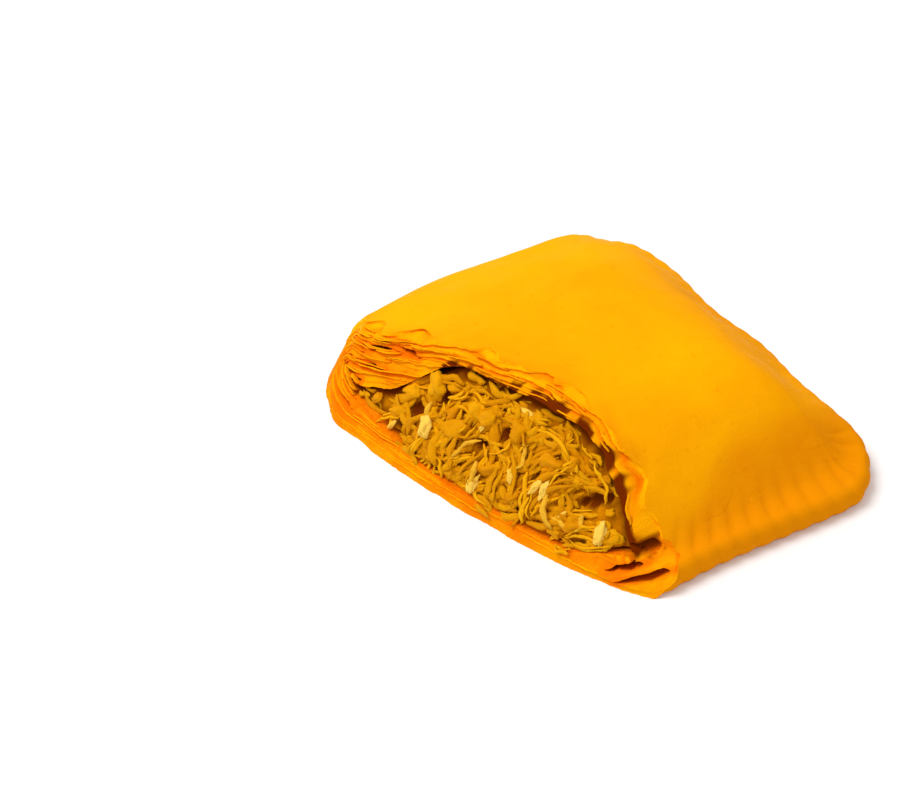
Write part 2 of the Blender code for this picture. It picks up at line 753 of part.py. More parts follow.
def shred(name, collection, centre, run, bend, out, length, radius):
    """A curved strand of meat: a tapered rod bent over its length."""
    bm = bmesh.new()
    bmesh.ops.create_cone(
        bm, cap_ends=True, segments=SHRED_SIDES, radius1=1.0, radius2=SHRED_TIP, depth=2.0,
    )
    upright = [edge for edge in bm.edges if abs(edge.verts[0].co.z - edge.verts[1].co.z) > 1.0]
    bmesh.ops.subdivide_edges(bm, edges=upright, cuts=SHRED_CUTS)
    for vert in bm.verts:
        share = vert.co.z
        taper = radius * (1.0 - SHRED_TAPER * share * share)
        spot = centre + run * (length / 2) * share + bend * (share * share - SHRED_BEND_MIDDLE)
        vert.co = spot + bend.normalized() * vert.co.x * taper + out * vert.co.y * taper
    return finish_mesh(bm, name, collection)


def spread_spots(draw, spacing):
    """Places over the cut face, on a jittered grid."""
    spots = []
    for column in range(math.ceil(WIDTH / spacing)):
        for row in range(math.ceil(CROWN / spacing * ROW_SQUEEZE)):
            y = (column + draw.uniform(*JITTER)) * spacing
            z = (row + draw.uniform(*JITTER)) * spacing / ROW_SQUEEZE
            spots.append((y, z))
    return spots


def turned(across, up, angle):
    """The two directions of the cut face, turned by an angle within it."""
    return (
        across * math.cos(angle) + up * math.sin(angle),
        up * math.cos(angle) - across * math.sin(angle),
    )


def pale_chunks(collection):
    for index, (y, z, length, breadth, angle) in enumerate(PALE_CHUNKS):
        spot, across, up, out = face_frame(y * MM, z * MM)
        run, side = turned(across, up, math.radians(angle))
        axes = (run * length * MM / 2, side * breadth * MM / 2, out * breadth * MM / 2)
        centre = spot + out * filling_out(y * MM, z * MM)
        chunk(f"pale_{index}", collection, centre, axes, PALE_WOBBLE, PALE_ROUNDS)


def lumps(draw, collection):
    for index, (y, z) in enumerate(spread_spots(draw, LUMP_SPACING)):
        radius = draw.uniform(*LUMP_RADII)
        stretch = draw.uniform(*LUMP_STRETCHES)
        angle = draw.uniform(0.0, math.pi)
        if not fits(y, z, radius):
            continue
        spot, across, up, out = face_frame(y, z)
        run, side = turned(across, up, angle)
        axes = (run * radius * stretch, side * radius, out * radius * LUMP_FLATNESS)
        centre = spot + out * (filling_out(y, z) - LUMP_SUNK * radius)
        chunk(f"lump_{index}", collection, centre, axes, LUMP_WOBBLE, LUMP_ROUNDS)


def fitted_length(y, z, angle, length):
    """The longest strand at a place and angle that stays on the filling, up to a wanted length."""
    while length > SHORTEST_SHRED:
        if all(
            fits(y + math.cos(angle) * reach, z + math.sin(angle) * reach, SHRED_MARGIN)
            for reach in (-length / 2, 0.0, length / 2)
        ):
            return length
        length *= SHRED_SHORTENING
    return 0.0


def shreds(draw, collection):
    for index, (y, z) in enumerate(spread_spots(draw, SHRED_SPACING)):
        wanted = draw.uniform(*SHRED_LENGTHS)
        radius = draw.uniform(*SHRED_RADII)
        angles = [draw.uniform(0.0, math.pi) for _ in range(SHRED_TRIES)]
        curl = draw.uniform(-SHRED_CURL, SHRED_CURL)
        tilt = draw.uniform(-SHRED_TILT, SHRED_TILT)
        lift = draw.uniform(*SHRED_LIFTS) * radius
        length, angle = max((fitted_length(y, z, angle, wanted), angle) for angle in angles)
        if length == 0.0:
            continue
        spot, across, up, out = face_frame(y, z)
        run, side = turned(across, up, angle)
        run = (run + out * tilt).normalized()
        bend = side * math.copysign(abs(curl) * length + SHRED_LEAST_BEND, curl)
        centre = spot + out * (filling_out(y, z) + lift)
        shred(f"shred_{index}", collection, centre, run, bend, out, length, radius)


def filling_out(y, z):
    """How far the filling's own face stands out of the plain cut face."""
    return -filling_relief(y, z) * math.cos(math.atan(CUT_SLOPE))


# Materials

def plain_material(name, color, roughness):
    material = bpy.data.materials.new(name)
    material.use_nodes = True
    shader = material.node_tree.nodes["Principled BSDF"]
    shader.inputs["Base Color"].default_value = (*color, 1.0)
    shader.inputs["Roughness"].default_value = roughness
    shader.inputs["Metallic"].default_value = 0.0
    return material


def dress(obj, material):
    obj.data.materials.clear()
    obj.data.materials.append(material)
    for polygon in obj.data.polygons:
        polygon.material_index = 0


def settle(obj):
    """Moves a finished object from the plan frame to the part's own frame."""
    for vert in obj.data.vertices:
        vert.co.x -= MIDDLE_X
        vert.co.y -= MIDDLE_Y


def build():
    for old in list(bpy.data.objects):
        bpy.data.objects.remove(old)
    patty = new_collection("jamaican_patty")
    tools = new_collection("tools", hidden=True)

    crust = crust_form(patty)
    pocket_form("pocket", tools, 0.0, pocket_floor, pocket_top)
    cut_tool("crust_cut", tools, crust_relief)
    for index, (start, end) in enumerate(CRACKS):
        crack_tool(f"crack_{index}", tools, start, end)
    combine(crust, "DIFFERENCE", tools, "EXACT")
    dress(crust, plain_material("crust_pastry", CRUST_COLOR, CRUST_ROUGHNESS))

    filling = pocket_form("meat_filling", patty, FILLING_GAP, filling_floor, filling_top)
    cut_tool("filling_cut", tools, filling_relief)
    combine(filling, "DIFFERENCE", tools, "MANIFOLD")
    # Chunks, lumps and shreds are fused on at the cut, then the whole is trimmed to the pocket
    draw = random.Random(SEED)
    pale_chunks(tools)
    lumps(draw, tools)
    shreds(draw, tools)
    combine(filling, "UNION", tools, "MANIFOLD")
    pocket_form("room", tools, ROOM_GAP, room_floor, room_top)
    combine(filling, "INTERSECT", tools, "MANIFOLD")
    dress(filling, plain_material("filling_meat", FILLING_COLOR, FILLING_ROUGHNESS))

    for obj in (crust, filling):
        settle(obj)
        obj.data.shade_smooth()
        obj.data.set_sharp_from_angle(angle=math.radians(SHARP_ANGLE))


build()
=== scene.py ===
import functools
import json
import math
import random

import bmesh
import bpy
from mathutils import Matrix, Vector, noise
from mathutils.bvhtree import BVHTree

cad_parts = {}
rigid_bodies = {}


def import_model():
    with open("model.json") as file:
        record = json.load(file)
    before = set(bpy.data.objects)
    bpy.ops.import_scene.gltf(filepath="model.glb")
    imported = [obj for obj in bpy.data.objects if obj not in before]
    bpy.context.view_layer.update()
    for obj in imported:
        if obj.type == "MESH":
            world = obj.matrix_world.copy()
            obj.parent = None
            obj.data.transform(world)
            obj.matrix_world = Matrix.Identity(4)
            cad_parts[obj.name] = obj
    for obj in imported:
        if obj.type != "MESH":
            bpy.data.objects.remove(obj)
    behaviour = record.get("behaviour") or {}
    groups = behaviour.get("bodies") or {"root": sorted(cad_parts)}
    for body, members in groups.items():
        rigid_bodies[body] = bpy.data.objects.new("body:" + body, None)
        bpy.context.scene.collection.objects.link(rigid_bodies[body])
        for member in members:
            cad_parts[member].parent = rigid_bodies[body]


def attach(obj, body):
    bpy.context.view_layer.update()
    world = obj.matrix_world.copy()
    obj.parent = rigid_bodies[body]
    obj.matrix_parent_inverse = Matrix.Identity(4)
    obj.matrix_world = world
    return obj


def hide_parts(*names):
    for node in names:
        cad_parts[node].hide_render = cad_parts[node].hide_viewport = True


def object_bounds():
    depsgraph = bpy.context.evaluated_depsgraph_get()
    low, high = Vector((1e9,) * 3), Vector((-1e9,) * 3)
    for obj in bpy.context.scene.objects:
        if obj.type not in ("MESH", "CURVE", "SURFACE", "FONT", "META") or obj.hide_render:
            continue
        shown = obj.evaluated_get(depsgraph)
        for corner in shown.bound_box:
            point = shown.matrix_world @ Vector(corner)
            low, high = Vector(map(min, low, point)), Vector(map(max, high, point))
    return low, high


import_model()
cadLow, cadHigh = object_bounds()
print("frame loaded")

# The half patty is worked out in millimetres, seen from above: x runs along the fold with the cut on
# the low side, and y is 0 at the crimped front and rises to the fold. settle() turns it to the frame.


def lerp(low, high, share):
    return low + (high - low) * share


def clamp(value):
    return min(max(value, 0.0), 1.0)


def smooth(value):
    value = clamp(value)
    return value * value * (3.0 - 2.0 * value)


def ripple(x, y, z=0.0):  # smooth noise; where z is a bare number, it picks a pattern of its own
    return noise.noise(Vector((x, y, z)))


def rippleOver(length, x, y, pattern=0.0):
    return ripple(x / length, y / length, pattern)


def past(value, start, reach):  # 0 up to the start, 1 from the reach on
    return smooth((value - start) / reach)


def before(value, end, reach):  # 0 from the end on, 1 further before it than the reach
    return smooth((end - value) / reach)


def hump(distance, spread, power=2):
    return math.exp(-(distance / spread) ** power)


# Outline of the parcel, seen from above

parcel = {
    "middleX": -9.95,  # middle of the half, where the frame's x and y are 0
    "middleY": 51.54,
    "width": 102.4,
    "endAtCrimp": 38.0,
    "endAtFold": 32.8,
    "hiddenAtCrimp": -38.0,  # the side that the cut took away
    "hiddenAtFold": -68.0,
    "cornerRadii": (5.0, 13.0, 20.0, 5.0),
    "sharpestCorner": 2.0,
    "foldBow": 2.0,  # the fold bows out in the middle
    "foldBowMiddle": -20.0,
    "foldBowSpread": 28.0,
    "frontSetBack": 2.0,  # the front lies back at the cut and swells at the far end
    "frontSwell": 1.5,
    "frontTurn": (18.0, 45.0),
    "frontFade": 10.0,
}


def insetCorners(inset):
    corners = [
        Vector((parcel["hiddenAtCrimp"], 0.0)),
        Vector((parcel["endAtCrimp"], 0.0)),
        Vector((parcel["endAtFold"], parcel["width"])),
        Vector((parcel["hiddenAtFold"], parcel["width"])),
    ]
    moved = []
    for index, corner in enumerate(corners):
        before = (corner - corners[index - 1]).normalized()
        after = (corners[(index + 1) % 4] - corner).normalized()
        inwardBefore = Vector((-before.y, before.x))
        inwardAfter = Vector((-after.y, after.x))
        mitre = (inwardBefore + inwardAfter) / (1.0 + inwardBefore.dot(inwardAfter))
        moved.append(corner + mitre * inset)
    return moved


class Outline:
    # front side, corner arc, end side, arc, fold, arc, hidden side, arc

    def __init__(self, inset):
        corners = insetCorners(inset)
        arcs = []
        for index, corner in enumerate(corners):
            back = (corners[index - 1] - corner).normalized()
            ahead = (corners[(index + 1) % 4] - corner).normalized()
            half = back.angle(ahead) / 2
            radius = max(parcel["cornerRadii"][index] - inset, parcel["sharpestCorner"])
            reach = radius / math.tan(half)
            centre = corner + (back + ahead).normalized() * radius / math.sin(half)
            arcs.append((corner + back * reach, corner + ahead * reach, centre, radius))
        self.pieces = []
        for index in range(4):
            following = arcs[(index + 1) % 4]
            self.pieces.append((arcs[index][1], following[0], None, 0.0))
            self.pieces.append(following)

    def length(self, piece):
        start, end, centre, radius = self.pieces[piece]
        if centre is None:
            return (end - start).length
        return radius * (start - centre).angle(end - centre)

    def point(self, piece, share):
        start, end, centre, radius = self.pieces[piece]
        if centre is None:
            run = (end - start).normalized()
            return start.lerp(end, share), Vector((run.y, -run.x))
        turn = (start - centre).angle(end - centre) * share
        spoke = Matrix.Rotation(turn, 2) @ (start - centre)
        return centre + spoke, spoke.normalized()


@functools.lru_cache(maxsize=None)
def outlineAt(inset):
    return Outline(inset)


edgeLine = outlineAt(0.0)
frontCorner, endSide, endCorner, foldSide, foldCorner, hiddenCorner, pieceCount = 1, 2, 3, 4, 5, 7, 8
pieceStarts = [sum(edgeLine.length(piece) for piece in range(end)) for end in range(pieceCount + 1)]
roundTrip = pieceStarts[pieceCount]
crimpEnd = pieceStarts[foldSide]
bowAt = crimpEnd + edgeLine.pieces[foldSide][0].x - parcel["foldBowMiddle"]
sideMiddles = [-edgeLine.length(hiddenCorner) / 2] + [
    pieceStarts[arc] + edgeLine.length(arc) / 2 for arc in (frontCorner, endCorner, foldCorner, hiddenCorner)
]
hair = 1e-6  # as good as nothing


def along(side, share):  # distance round the outline
    return lerp(sideMiddles[side], sideMiddles[side + 1], share)


def pieceAt(distance):
    distance %= roundTrip
    piece = max(index for index in range(pieceCount) if pieceStarts[index] <= distance)
    return piece, (distance - pieceStarts[piece]) / edgeLine.length(piece)


def squarePlace(co):  # side, share along it and distance from the middle, in a square from -1 to 1
    out = max(abs(co.x), abs(co.y))
    if out < hair:
        return 0, 0.0, 0.0
    across, up = co.x / out, co.y / out
    if up < hair - 1.0 and across < 1.0 - hair:
        return 0, (across + 1.0) / 2, out
    if across > 1.0 - hair and up < 1.0 - hair:
        return 1, (up + 1.0) / 2, out
    if up > 1.0 - hair and across > hair - 1.0:
        return 2, (1.0 - across) / 2, out
    return 3, (1.0 - up) / 2, out


# Heights: a flat rim in front, a thicker one at the end, a round nose at the fold, a dome between them

dough = {
    "crown": 31.0,
    "rim": 6.6,
    "endRim": 9.4,
    "endTurn": (4.0, 24.0),
    "nose": 13.6,
    "noseAtEnd": 9.8,
    "noseThinsOver": 50.0,
    "rimWidth": 7.0,
    "crimpRise": 33.0,
    "endRimWidth": 2.6,
    "endRise": 29.0,
    "foldFlat": 2.0,
    "foldRise": 66.0,
    "foldRisePower": 0.85,
    "crownBlend": 2.5,
    "hipBlend": 3.0,  # how softly the crimped front and end meet, most of all half way up
    "hipBlendLeast": 0.05,
    "foldTurn": 14.0,
    "foldTurnSharpness": 1.2,
    "sideLevel": 0.45,
    "rimRound": 2.5,
    "noseRound": 6.7,
    "rimUndercut": 1.3,
    "noseUndercut": 6.0,
    "rimBlend": 1.3,  # how softly the dome leaves the rim
    "endBlend": 1.6,
    "wave": 0.5,
    "waveLength": 22.0,
    "cornerSteps": 4,
    "foldCornerSteps": 3,
}
archScale = 4.0  # makes share * (1 - share) reach 1 in the middle


def distanceTo(x, y, leg):
    startX, startY, runX, runY, squared = leg
    share = clamp(((x - startX) * runX + (y - startY) * runY) / squared)
    return math.hypot(x - startX - runX * share, y - startY - runY * share)


def legsOf(distances, farStart=0.0, farEnd=0.0):
    spots = [edgeLine.point(*pieceAt(distance))[0] for distance in distances]
    spots[0] = spots[0] + Vector((farStart, 0.0))
    spots[-1] = spots[-1] + Vector((farEnd, 0.0))
    legs = []
    for start, end in zip(spots, spots[1:]):
        run = end - start
        legs.append((start.x, start.y, run.x, run.y, run.length_squared))
    return legs


def stepsBetween(start, end, count):
    return [lerp(start, end, step / count) for step in range(count + 1)]


endStart, foldStart = sideMiddles[1:3]
frontDistances = [0.0] + stepsBetween(pieceStarts[frontCorner], endStart, dough["cornerSteps"])
endDistances = stepsBetween(endStart, pieceStarts[endSide], dough["cornerSteps"])
endDistances += stepsBetween(pieceStarts[endCorner], foldStart, dough["foldCornerSteps"])
foldDistances = stepsBetween(foldStart, crimpEnd, dough["foldCornerSteps"]) + [pieceStarts[foldCorner]]
frontLegs = legsOf(frontDistances, farStart=-parcel["width"])
endLegs = legsOf(endDistances)
foldLegs = legsOf(foldDistances, farEnd=-parcel["width"])


def edgeDistances(x, y):  # to the crimped front, to the crimped end and to the fold
    return [min(distanceTo(x, y, leg) for leg in legs) for legs in (frontLegs, endLegs, foldLegs)]


def softMin(first, second, blend):
    return min(first, second) - blend * math.log(1.0 + math.exp(-abs(first - second) / blend))


def eased(value, blend):  # 0 below 0, itself above, with a soft bend between
    return blend * math.log(1.0 + math.exp(value / blend))


def rise(start, share, power=1.0):
    return start + (dough["crown"] - start) * math.sin(math.pi / 2 * clamp(share)) ** power


def foldShareAt(y):
    share = (y - (parcel["width"] - dough["foldTurn"])) / dough["foldTurn"]
    return smooth(share * dough["foldTurnSharpness"])


def rimAt(y):
    return lerp(dough["rim"], dough["endRim"], past(y, *dough["endTurn"]))


def noseHeight(x):
    return lerp(dough["noseAtEnd"], dough["nose"], before(x, parcel["endAtFold"], dough["noseThinsOver"]))


def edgeHeight(x, y):
    return lerp(rimAt(y), noseHeight(x), foldShareAt(y))


def dome(x, y):
    front, end, folded = edgeDistances(x, y)
    fromFront = rise(dough["rim"], eased(front - dough["rimWidth"], dough["rimBlend"]) / dough["crimpRise"])
    fromEnd = rise(rimAt(y), eased(end - dough["endRimWidth"], dough["endBlend"]) / dough["endRise"])
    risen = clamp((min(fromFront, fromEnd) - dough["rim"]) / (dough["crown"] - dough["rim"]))
    hip = dough["hipBlend"] * archScale * risen * (1.0 - risen) + dough["hipBlendLeast"]
    fromCrimp = softMin(fromFront, fromEnd, hip)
    fromFold = rise(noseHeight(x), (folded - dough["foldFlat"]) / dough["foldRise"], dough["foldRisePower"])
    wave = rippleOver(dough["waveLength"], x, y)
    wave *= past(min(front, end, folded), dough["rimWidth"], dough["rimWidth"])
    return softMin(fromCrimp, fromFold, dough["crownBlend"]) + dough["wave"] * wave


# Crimping: fork marks on the front rim, scallops on the end, and soft dents that a thumb left

crimp = {
    "forkPitch": 4.9,
    "forkSharpness": 1.5,
    "forkDepth": 0.42,
    "forkReach": 12.0,  # the marks fade out up the slope
    "forkDeepens": 0.3,  # share of the reach where they get deeper
    "forkThins": 2.0,  # how soon they thin out after it
    "forkFade": 30.0,
    "forkOnEnd": 0.6,
    "forkEdgeWave": 0.35,
    "scallopPitch": 32.0,
    "scallopStart": 14.0,
    "scallopDepth": 1.8,
    "dentDepth": 1.4,
    "dentInset": 7.0,
    "dentSpread": 4.5,
    "fade": 14.0,
    "innerInset": 14.0,
    "innerShare": 0.25,  # outer share of the inner part, where the marks run out
}
thumbDents = ((27.5, 78.0, 4.5, 0.9), (31.0, 52.0, 5.0, 0.8), (28.0, 33.0, 6.0, 0.5))  # x, y, spread, depth


def crimpShareAt(distance):
    if distance < 0.0 or distance > crimpEnd:
        return 0.0
    return before(distance, crimpEnd, crimp["fade"])


def notchAt(distance):  # 1 at each notch between scallops
    onEnd = past(distance, pieceStarts[frontCorner], edgeLine.length(frontCorner)) * crimpShareAt(distance)
    phase = (distance - pieceStarts[endSide] - crimp["scallopStart"]) / crimp["scallopPitch"]
    return onEnd * (0.5 + 0.5 * math.cos(2 * math.pi * phase))


def forkAt(distance):  # 1 in the middle of each fork mark
    wave = 0.5 + 0.5 * math.cos(2 * math.pi * distance / crimp["forkPitch"])
    pastCorner = past(distance, pieceStarts[frontCorner], crimp["forkFade"])
    mark = wave ** crimp["forkSharpness"] * crimpShareAt(distance)
    return mark * lerp(1.0, crimp["forkOnEnd"], pastCorner)


def frontPush(distance):  # back from the straight front at the cut, and out at the far end
    if distance > roundTrip / 2:
        distance -= roundTrip
    present = smooth(1.0 + distance / parcel["frontFade"])
    present *= before(distance, pieceStarts[endSide], edgeLine.length(frontCorner))
    swung = past(distance, *parcel["frontTurn"])
    return present * lerp(parcel["frontSetBack"], -parcel["frontSwell"], swung)


def edgePush(distance, inset):
    near = smooth(1.0 - inset / crimp["innerInset"])
    bow = parcel["foldBow"] * smooth(1.0 - abs(distance - bowAt) / parcel["foldBowSpread"])
    marks = crimp["scallopDepth"] * notchAt(distance) + crimp["forkEdgeWave"] * forkAt(distance)
    return near * (marks + frontPush(distance) - bow)


def press(distance, inset):
    reach = crimp["forkReach"]
    acrossRim = smooth(inset / (crimp["forkDeepens"] * reach))
    acrossRim *= smooth(crimp["forkThins"] * (1.0 - inset / reach))
    dent = hump(inset - crimp["dentInset"], crimp["dentSpread"]) * notchAt(distance) ** 2
    return crimp["forkDepth"] * forkAt(distance) * acrossRim + crimp["dentDepth"] * dent


def planPoint(distance, inset):
    spot, outward = outlineAt(inset).point(*pieceAt(distance))
    return spot - outward * edgePush(distance, inset)


innerEnds = [planPoint(along(side, 0.5), crimp["innerInset"]) for side in (0, 2)]
innerMiddle = (innerEnds[0] + innerEnds[1]) / 2


# The skin's own unevenness: soft blisters, fine wrinkles and the thumb dents

skin = {
    "frontCells": 84,
    "endCells": 96,
    "crimpCuts": 1,
    "topRings": (12.6, 11.2, 9.9, 8.7, 7.6, 6.6, 5.6, 4.7, 3.8, 3.0, 2.3, 1.6, 1.05, 0.6, 0.25, 0.05),
    "underAngles": (0.0, 15.0, 30.0, 45.0, 60.0, 75.0, 90.0),
    "blister": 0.24,
    "blisterLength": 7.0,
    "wrinkle": 0.09,
    "wrinkleLength": 2.6,
    "wrinkleStretch": 0.6,  # below 1: longer along the fold
    "edgeCalm": 4.0,  # evener up to here from the edge
}


def skinRelief(x, y):
    relief = skin["blister"] * rippleOver(skin["blisterLength"], x, y, 4.0)
    length = skin["wrinkleLength"]
    relief += skin["wrinkle"] * ripple(x / length * skin["wrinkleStretch"], y / length, 8.0)
    for dentX, dentY, spread, depth in thumbDents:
        relief -= depth * math.exp(-((x - dentX) ** 2 + (y - dentY) ** 2) / spread ** 2)
    return relief


def topPoint(distance, inset):
    spot = planPoint(distance, inset)
    fold = foldShareAt(spot.y)
    side = dough["sideLevel"] * edgeHeight(spot.x, spot.y)
    edge = clamp(inset / lerp(dough["rimRound"], dough["noseRound"], fold))
    unevenness = skinRelief(spot.x, spot.y) * smooth(inset / skin["edgeCalm"])
    height = dome(spot.x, spot.y) - press(distance, inset) + unevenness
    return Vector((spot.x, spot.y, side + (height - side) * math.sqrt(1.0 - (1.0 - edge) ** 2)))


def underPoint(distance, angle):
    edge = planPoint(distance, 0.0)
    undercut = lerp(dough["rimUndercut"], dough["noseUndercut"], foldShareAt(edge.y))
    side = dough["sideLevel"] * edgeHeight(edge.x, edge.y)
    turn = math.radians(angle)
    spot = planPoint(distance, undercut * (1.0 - math.cos(turn)))
    return Vector((spot.x, spot.y, side * (1.0 - math.sin(turn))))


# Mesh helpers

def newGrid(across, up, size=1.0):
    bm = bmesh.new()
    bmesh.ops.create_grid(bm, x_segments=across, y_segments=up, size=size)
    return bm


def extrudedVerts(bm):
    grown = bmesh.ops.extrude_face_region(bm, geom=bm.faces[:], use_keep_orig=True)["geom"]
    return [item for item in grown if isinstance(item, bmesh.types.BMVert)]


def meshOf(bm, name):
    mesh = bpy.data.meshes.new(name)
    bm.to_mesh(mesh)
    bm.free()
    return mesh


def newObject(name, data, collection):
    obj = bpy.data.objects.new(name, data)
    collection.objects.link(obj)
    return obj


def borderRing(bm):
    places = []
    for vert in bm.verts:
        if vert.is_boundary:
            side, share, _ = squarePlace(vert.co)
            places.append((side + share, along(side, share), vert))
    places.sort(key=lambda place: place[0])
    return [vert for _, _, vert in places], [distance for _, distance, _ in places]


def ringEdges(bm, ring):
    return [bm.edges.get((vert, ring[index - 1])) for index, vert in enumerate(ring)]


def widen(bm, ring):
    made = set(bmesh.ops.extrude_edge_only(bm, edges=ringEdges(bm, ring))["geom"])
    return [
        next(edge.other_vert(vert) for edge in vert.link_edges if edge.other_vert(vert) in made)
        for vert in ring
    ]


def finishMesh(bm, name, collection, finish=0):
    bmesh.ops.triangulate(bm, faces=bm.faces[:], quad_method="FIXED")
    bmesh.ops.recalc_face_normals(bm, faces=bm.faces[:])
    if bm.calc_volume(signed=True) < 0.0:
        bmesh.ops.reverse_faces(bm, faces=bm.faces[:])
    for face in bm.faces:
        face.material_index = finish
    return newObject(name, meshOf(bm, name), collection)


def dropScraps(obj):  # keeps the largest connected piece
    bm = bmesh.new()
    bm.from_mesh(obj.data)
    left = set(bm.verts)
    pieces = []
    while left:
        piece = set()
        front = [left.pop()]
        while front:
            vert = front.pop()
            piece.add(vert)
            for edge in vert.link_edges:
                other = edge.other_vert(vert)
                if other in left:
                    left.remove(other)
                    front.append(other)
        pieces.append(piece)
    pieces.sort(key=len, reverse=True)
    for piece in pieces[1:]:
        bmesh.ops.delete(bm, geom=list(piece), context="VERTS")
    bm.to_mesh(obj.data)
    bm.free()


def cutAway(target, tools):
    modifier = target.modifiers.new("cut", "BOOLEAN")
    modifier.operation = "DIFFERENCE"
    modifier.solver = "MANIFOLD"
    modifier.operand_type = "COLLECTION"
    modifier.collection = tools
    evaluated = target.evaluated_get(bpy.context.evaluated_depsgraph_get())
    mesh = bpy.data.meshes.new_from_object(evaluated)
    target.modifiers.clear()
    target.data = mesh
    for tool in list(tools.objects):
        bpy.data.objects.remove(tool)
    dropScraps(target)


def newCollection(name):
    collection = bpy.data.collections.new(name)
    bpy.context.scene.collection.children.link(collection)
    return collection


toFrame = Matrix.Scale(0.001, 4) @ Matrix.Translation((-parcel["middleX"], -parcel["middleY"], 0.0))


def settle(obj):  # millimetres to the frame's metres, never past the CAD box
    for vert in obj.data.vertices:
        vert.co = toFrame @ vert.co
        for axis in range(3):
            vert.co[axis] = min(max(vert.co[axis], cadLow[axis]), cadHigh[axis])


# The parcel of dough before the cut

crimpedEdge = 0.995  # further out in the square grid, an edge's middle is on the crimped sides


def onCrimp(edge):
    middle = (edge.verts[0].co + edge.verts[1].co) / 2
    return edge.is_boundary and (middle.y < -crimpedEdge or middle.x > crimpedEdge)


def skinForm(collection):
    bm = newGrid(skin["frontCells"], skin["endCells"])
    crimped = [edge for edge in bm.edges if onCrimp(edge)]
    bmesh.ops.subdivide_edges(bm, edges=crimped, cuts=skin["crimpCuts"])
    ring, distances = borderRing(bm)
    for vert in bm.verts:
        side, share, out = squarePlace(vert.co)
        place = (along(side, share), crimp["innerInset"])
        spot = innerMiddle.lerp(planPoint(*place), out)
        dent = press(*place) * past(out, 1.0 - crimp["innerShare"], crimp["innerShare"])
        vert.co = (spot.x, spot.y, dome(spot.x, spot.y) - dent + skinRelief(spot.x, spot.y))
    for inset in skin["topRings"]:
        ring = widen(bm, ring)
        for vert, distance in zip(ring, distances):
            vert.co = topPoint(distance, inset)
    for angle in skin["underAngles"]:
        ring = widen(bm, ring)
        for vert, distance in zip(ring, distances):
            vert.co = underPoint(distance, angle)
    bmesh.ops.contextual_create(bm, geom=ringEdges(bm, ring))
    return finishMesh(bm, "crust", collection)


# The pocket for the filling: a lens in section, with thick folded layers on its fold side

pocket = {
    "insetCrimp": 10.5,
    "insetFold": 18.0,
    "insetHidden": 2.0,
    "cornerShare": 0.1,  # share of a side where its inset turns to the next one's
    "floor": 2.9,
    "floorRiseCrimp": 4.0,
    "floorRiseCrimpReach": 13.0,
    "floorRiseFold": 3.6,
    "floorRiseFoldReach": 28.0,
    "roof": 3.8,
    "roofLeast": 2.6,
    "foldRoof": 8.0,
    "foldRoofStart": 24.0,
    "foldRoofReach": 13.0,
    "edge": 1.4,
    "fillingGap": 0.6,
    "roofGap": 0.35,  # the filling sank away from the crust, and more so at the hollows
    "roofGapShare": 0.75,
    "roofGapSwing": 0.5,
    "roofGapReach": 12.0,
    "roofGapRoom": 3.0,  # less where the pocket is thinner than this many gaps
    "roofHollows": (
        (68.5, 1.4, 3.0), (51.5, 1.2, 2.0), (42.0, 1.1, 4.5), (33.5, 1.0, 1.6),
        (29.0, 1.2, 1.8), (18.0, 1.5, 4.2), (9.5, 1.0, 2.5),
    ),
    "frontCells": 30,
    "endCells": 66,
}


def pocketInset(side, share):
    insets = (pocket["insetCrimp"], pocket["insetCrimp"], pocket["insetFold"], pocket["insetHidden"])
    earlier, own, later = insets[side - 1], insets[side], insets[(side + 1) % len(insets)]
    corner = pocket["cornerShare"]
    if share < corner:
        return lerp((earlier + own) / 2, own, share / corner)
    if share > 1.0 - corner:
        return lerp(own, (own + later) / 2, (share - (1.0 - corner)) / corner)
    return own


def pocketFloor(x, y):
    front, end, folded = edgeDistances(x, y)
    nearCrimp = smooth(1.0 - (min(front, end) - pocket["insetCrimp"]) / pocket["floorRiseCrimpReach"])
    nearFold = smooth(1.0 - (folded - pocket["insetFold"]) / pocket["floorRiseFoldReach"])
    floor = pocket["floor"] + max(pocket["floorRiseCrimp"] * nearCrimp, pocket["floorRiseFold"] * nearFold)
    return min(floor, dome(x, y) - pocket["roofLeast"] - pocket["edge"])


def pocketTop(x, y):
    folded = edgeDistances(x, y)[2]
    roof = pocket["roof"]
    roof += pocket["foldRoof"] * smooth(1.0 - (folded - pocket["foldRoofStart"]) / pocket["foldRoofReach"])
    return max(dome(x, y) - roof, pocketFloor(x, y) + pocket["edge"])


def fillingTop(x, y):
    top = pocketTop(x, y)
    inside = max(x - cutX(y, top), 0.0)
    swing = pocket["roofGapSwing"] * rippleOver(ragged["length"], y, 0.0, 3.0)
    sag = pocket["roofGap"] * (pocket["roofGapShare"] + swing)
    for spot, depth, spread in pocket["roofHollows"]:
        sag += depth * hump(y - spot, spread)
    needed = pocket["roofGapRoom"] * pocket["roofGap"]
    room = smooth((top - pocketFloor(x, y) - pocket["edge"]) / needed)
    return top - pocket["fillingGap"] - sag * math.exp(-inside / pocket["roofGapReach"]) * room


def fillingFloor(x, y):
    return pocketFloor(x, y) + pocket["fillingGap"]


def pocketForm(name, collection, clearance, floor, top, finish=0):
    bm = newGrid(pocket["frontCells"], pocket["endCells"])
    for vert in bm.verts:
        side, share, out = squarePlace(vert.co)
        inset = pocketInset(side, share) + (clearance if vert.is_boundary else 0.0)
        spot = innerMiddle.lerp(outlineAt(inset).point(*pieceAt(along(side, share)))[0], out)
        vert.co = (spot.x, spot.y, floor(spot.x, spot.y))
    for vert in extrudedVerts(bm):
        vert.co.z = top(vert.co.x, vert.co.y)
    return finishMesh(bm, name, collection, finish)


# The cut: a bowed, sloping face whose two ends curve back, torn along the dough's layers

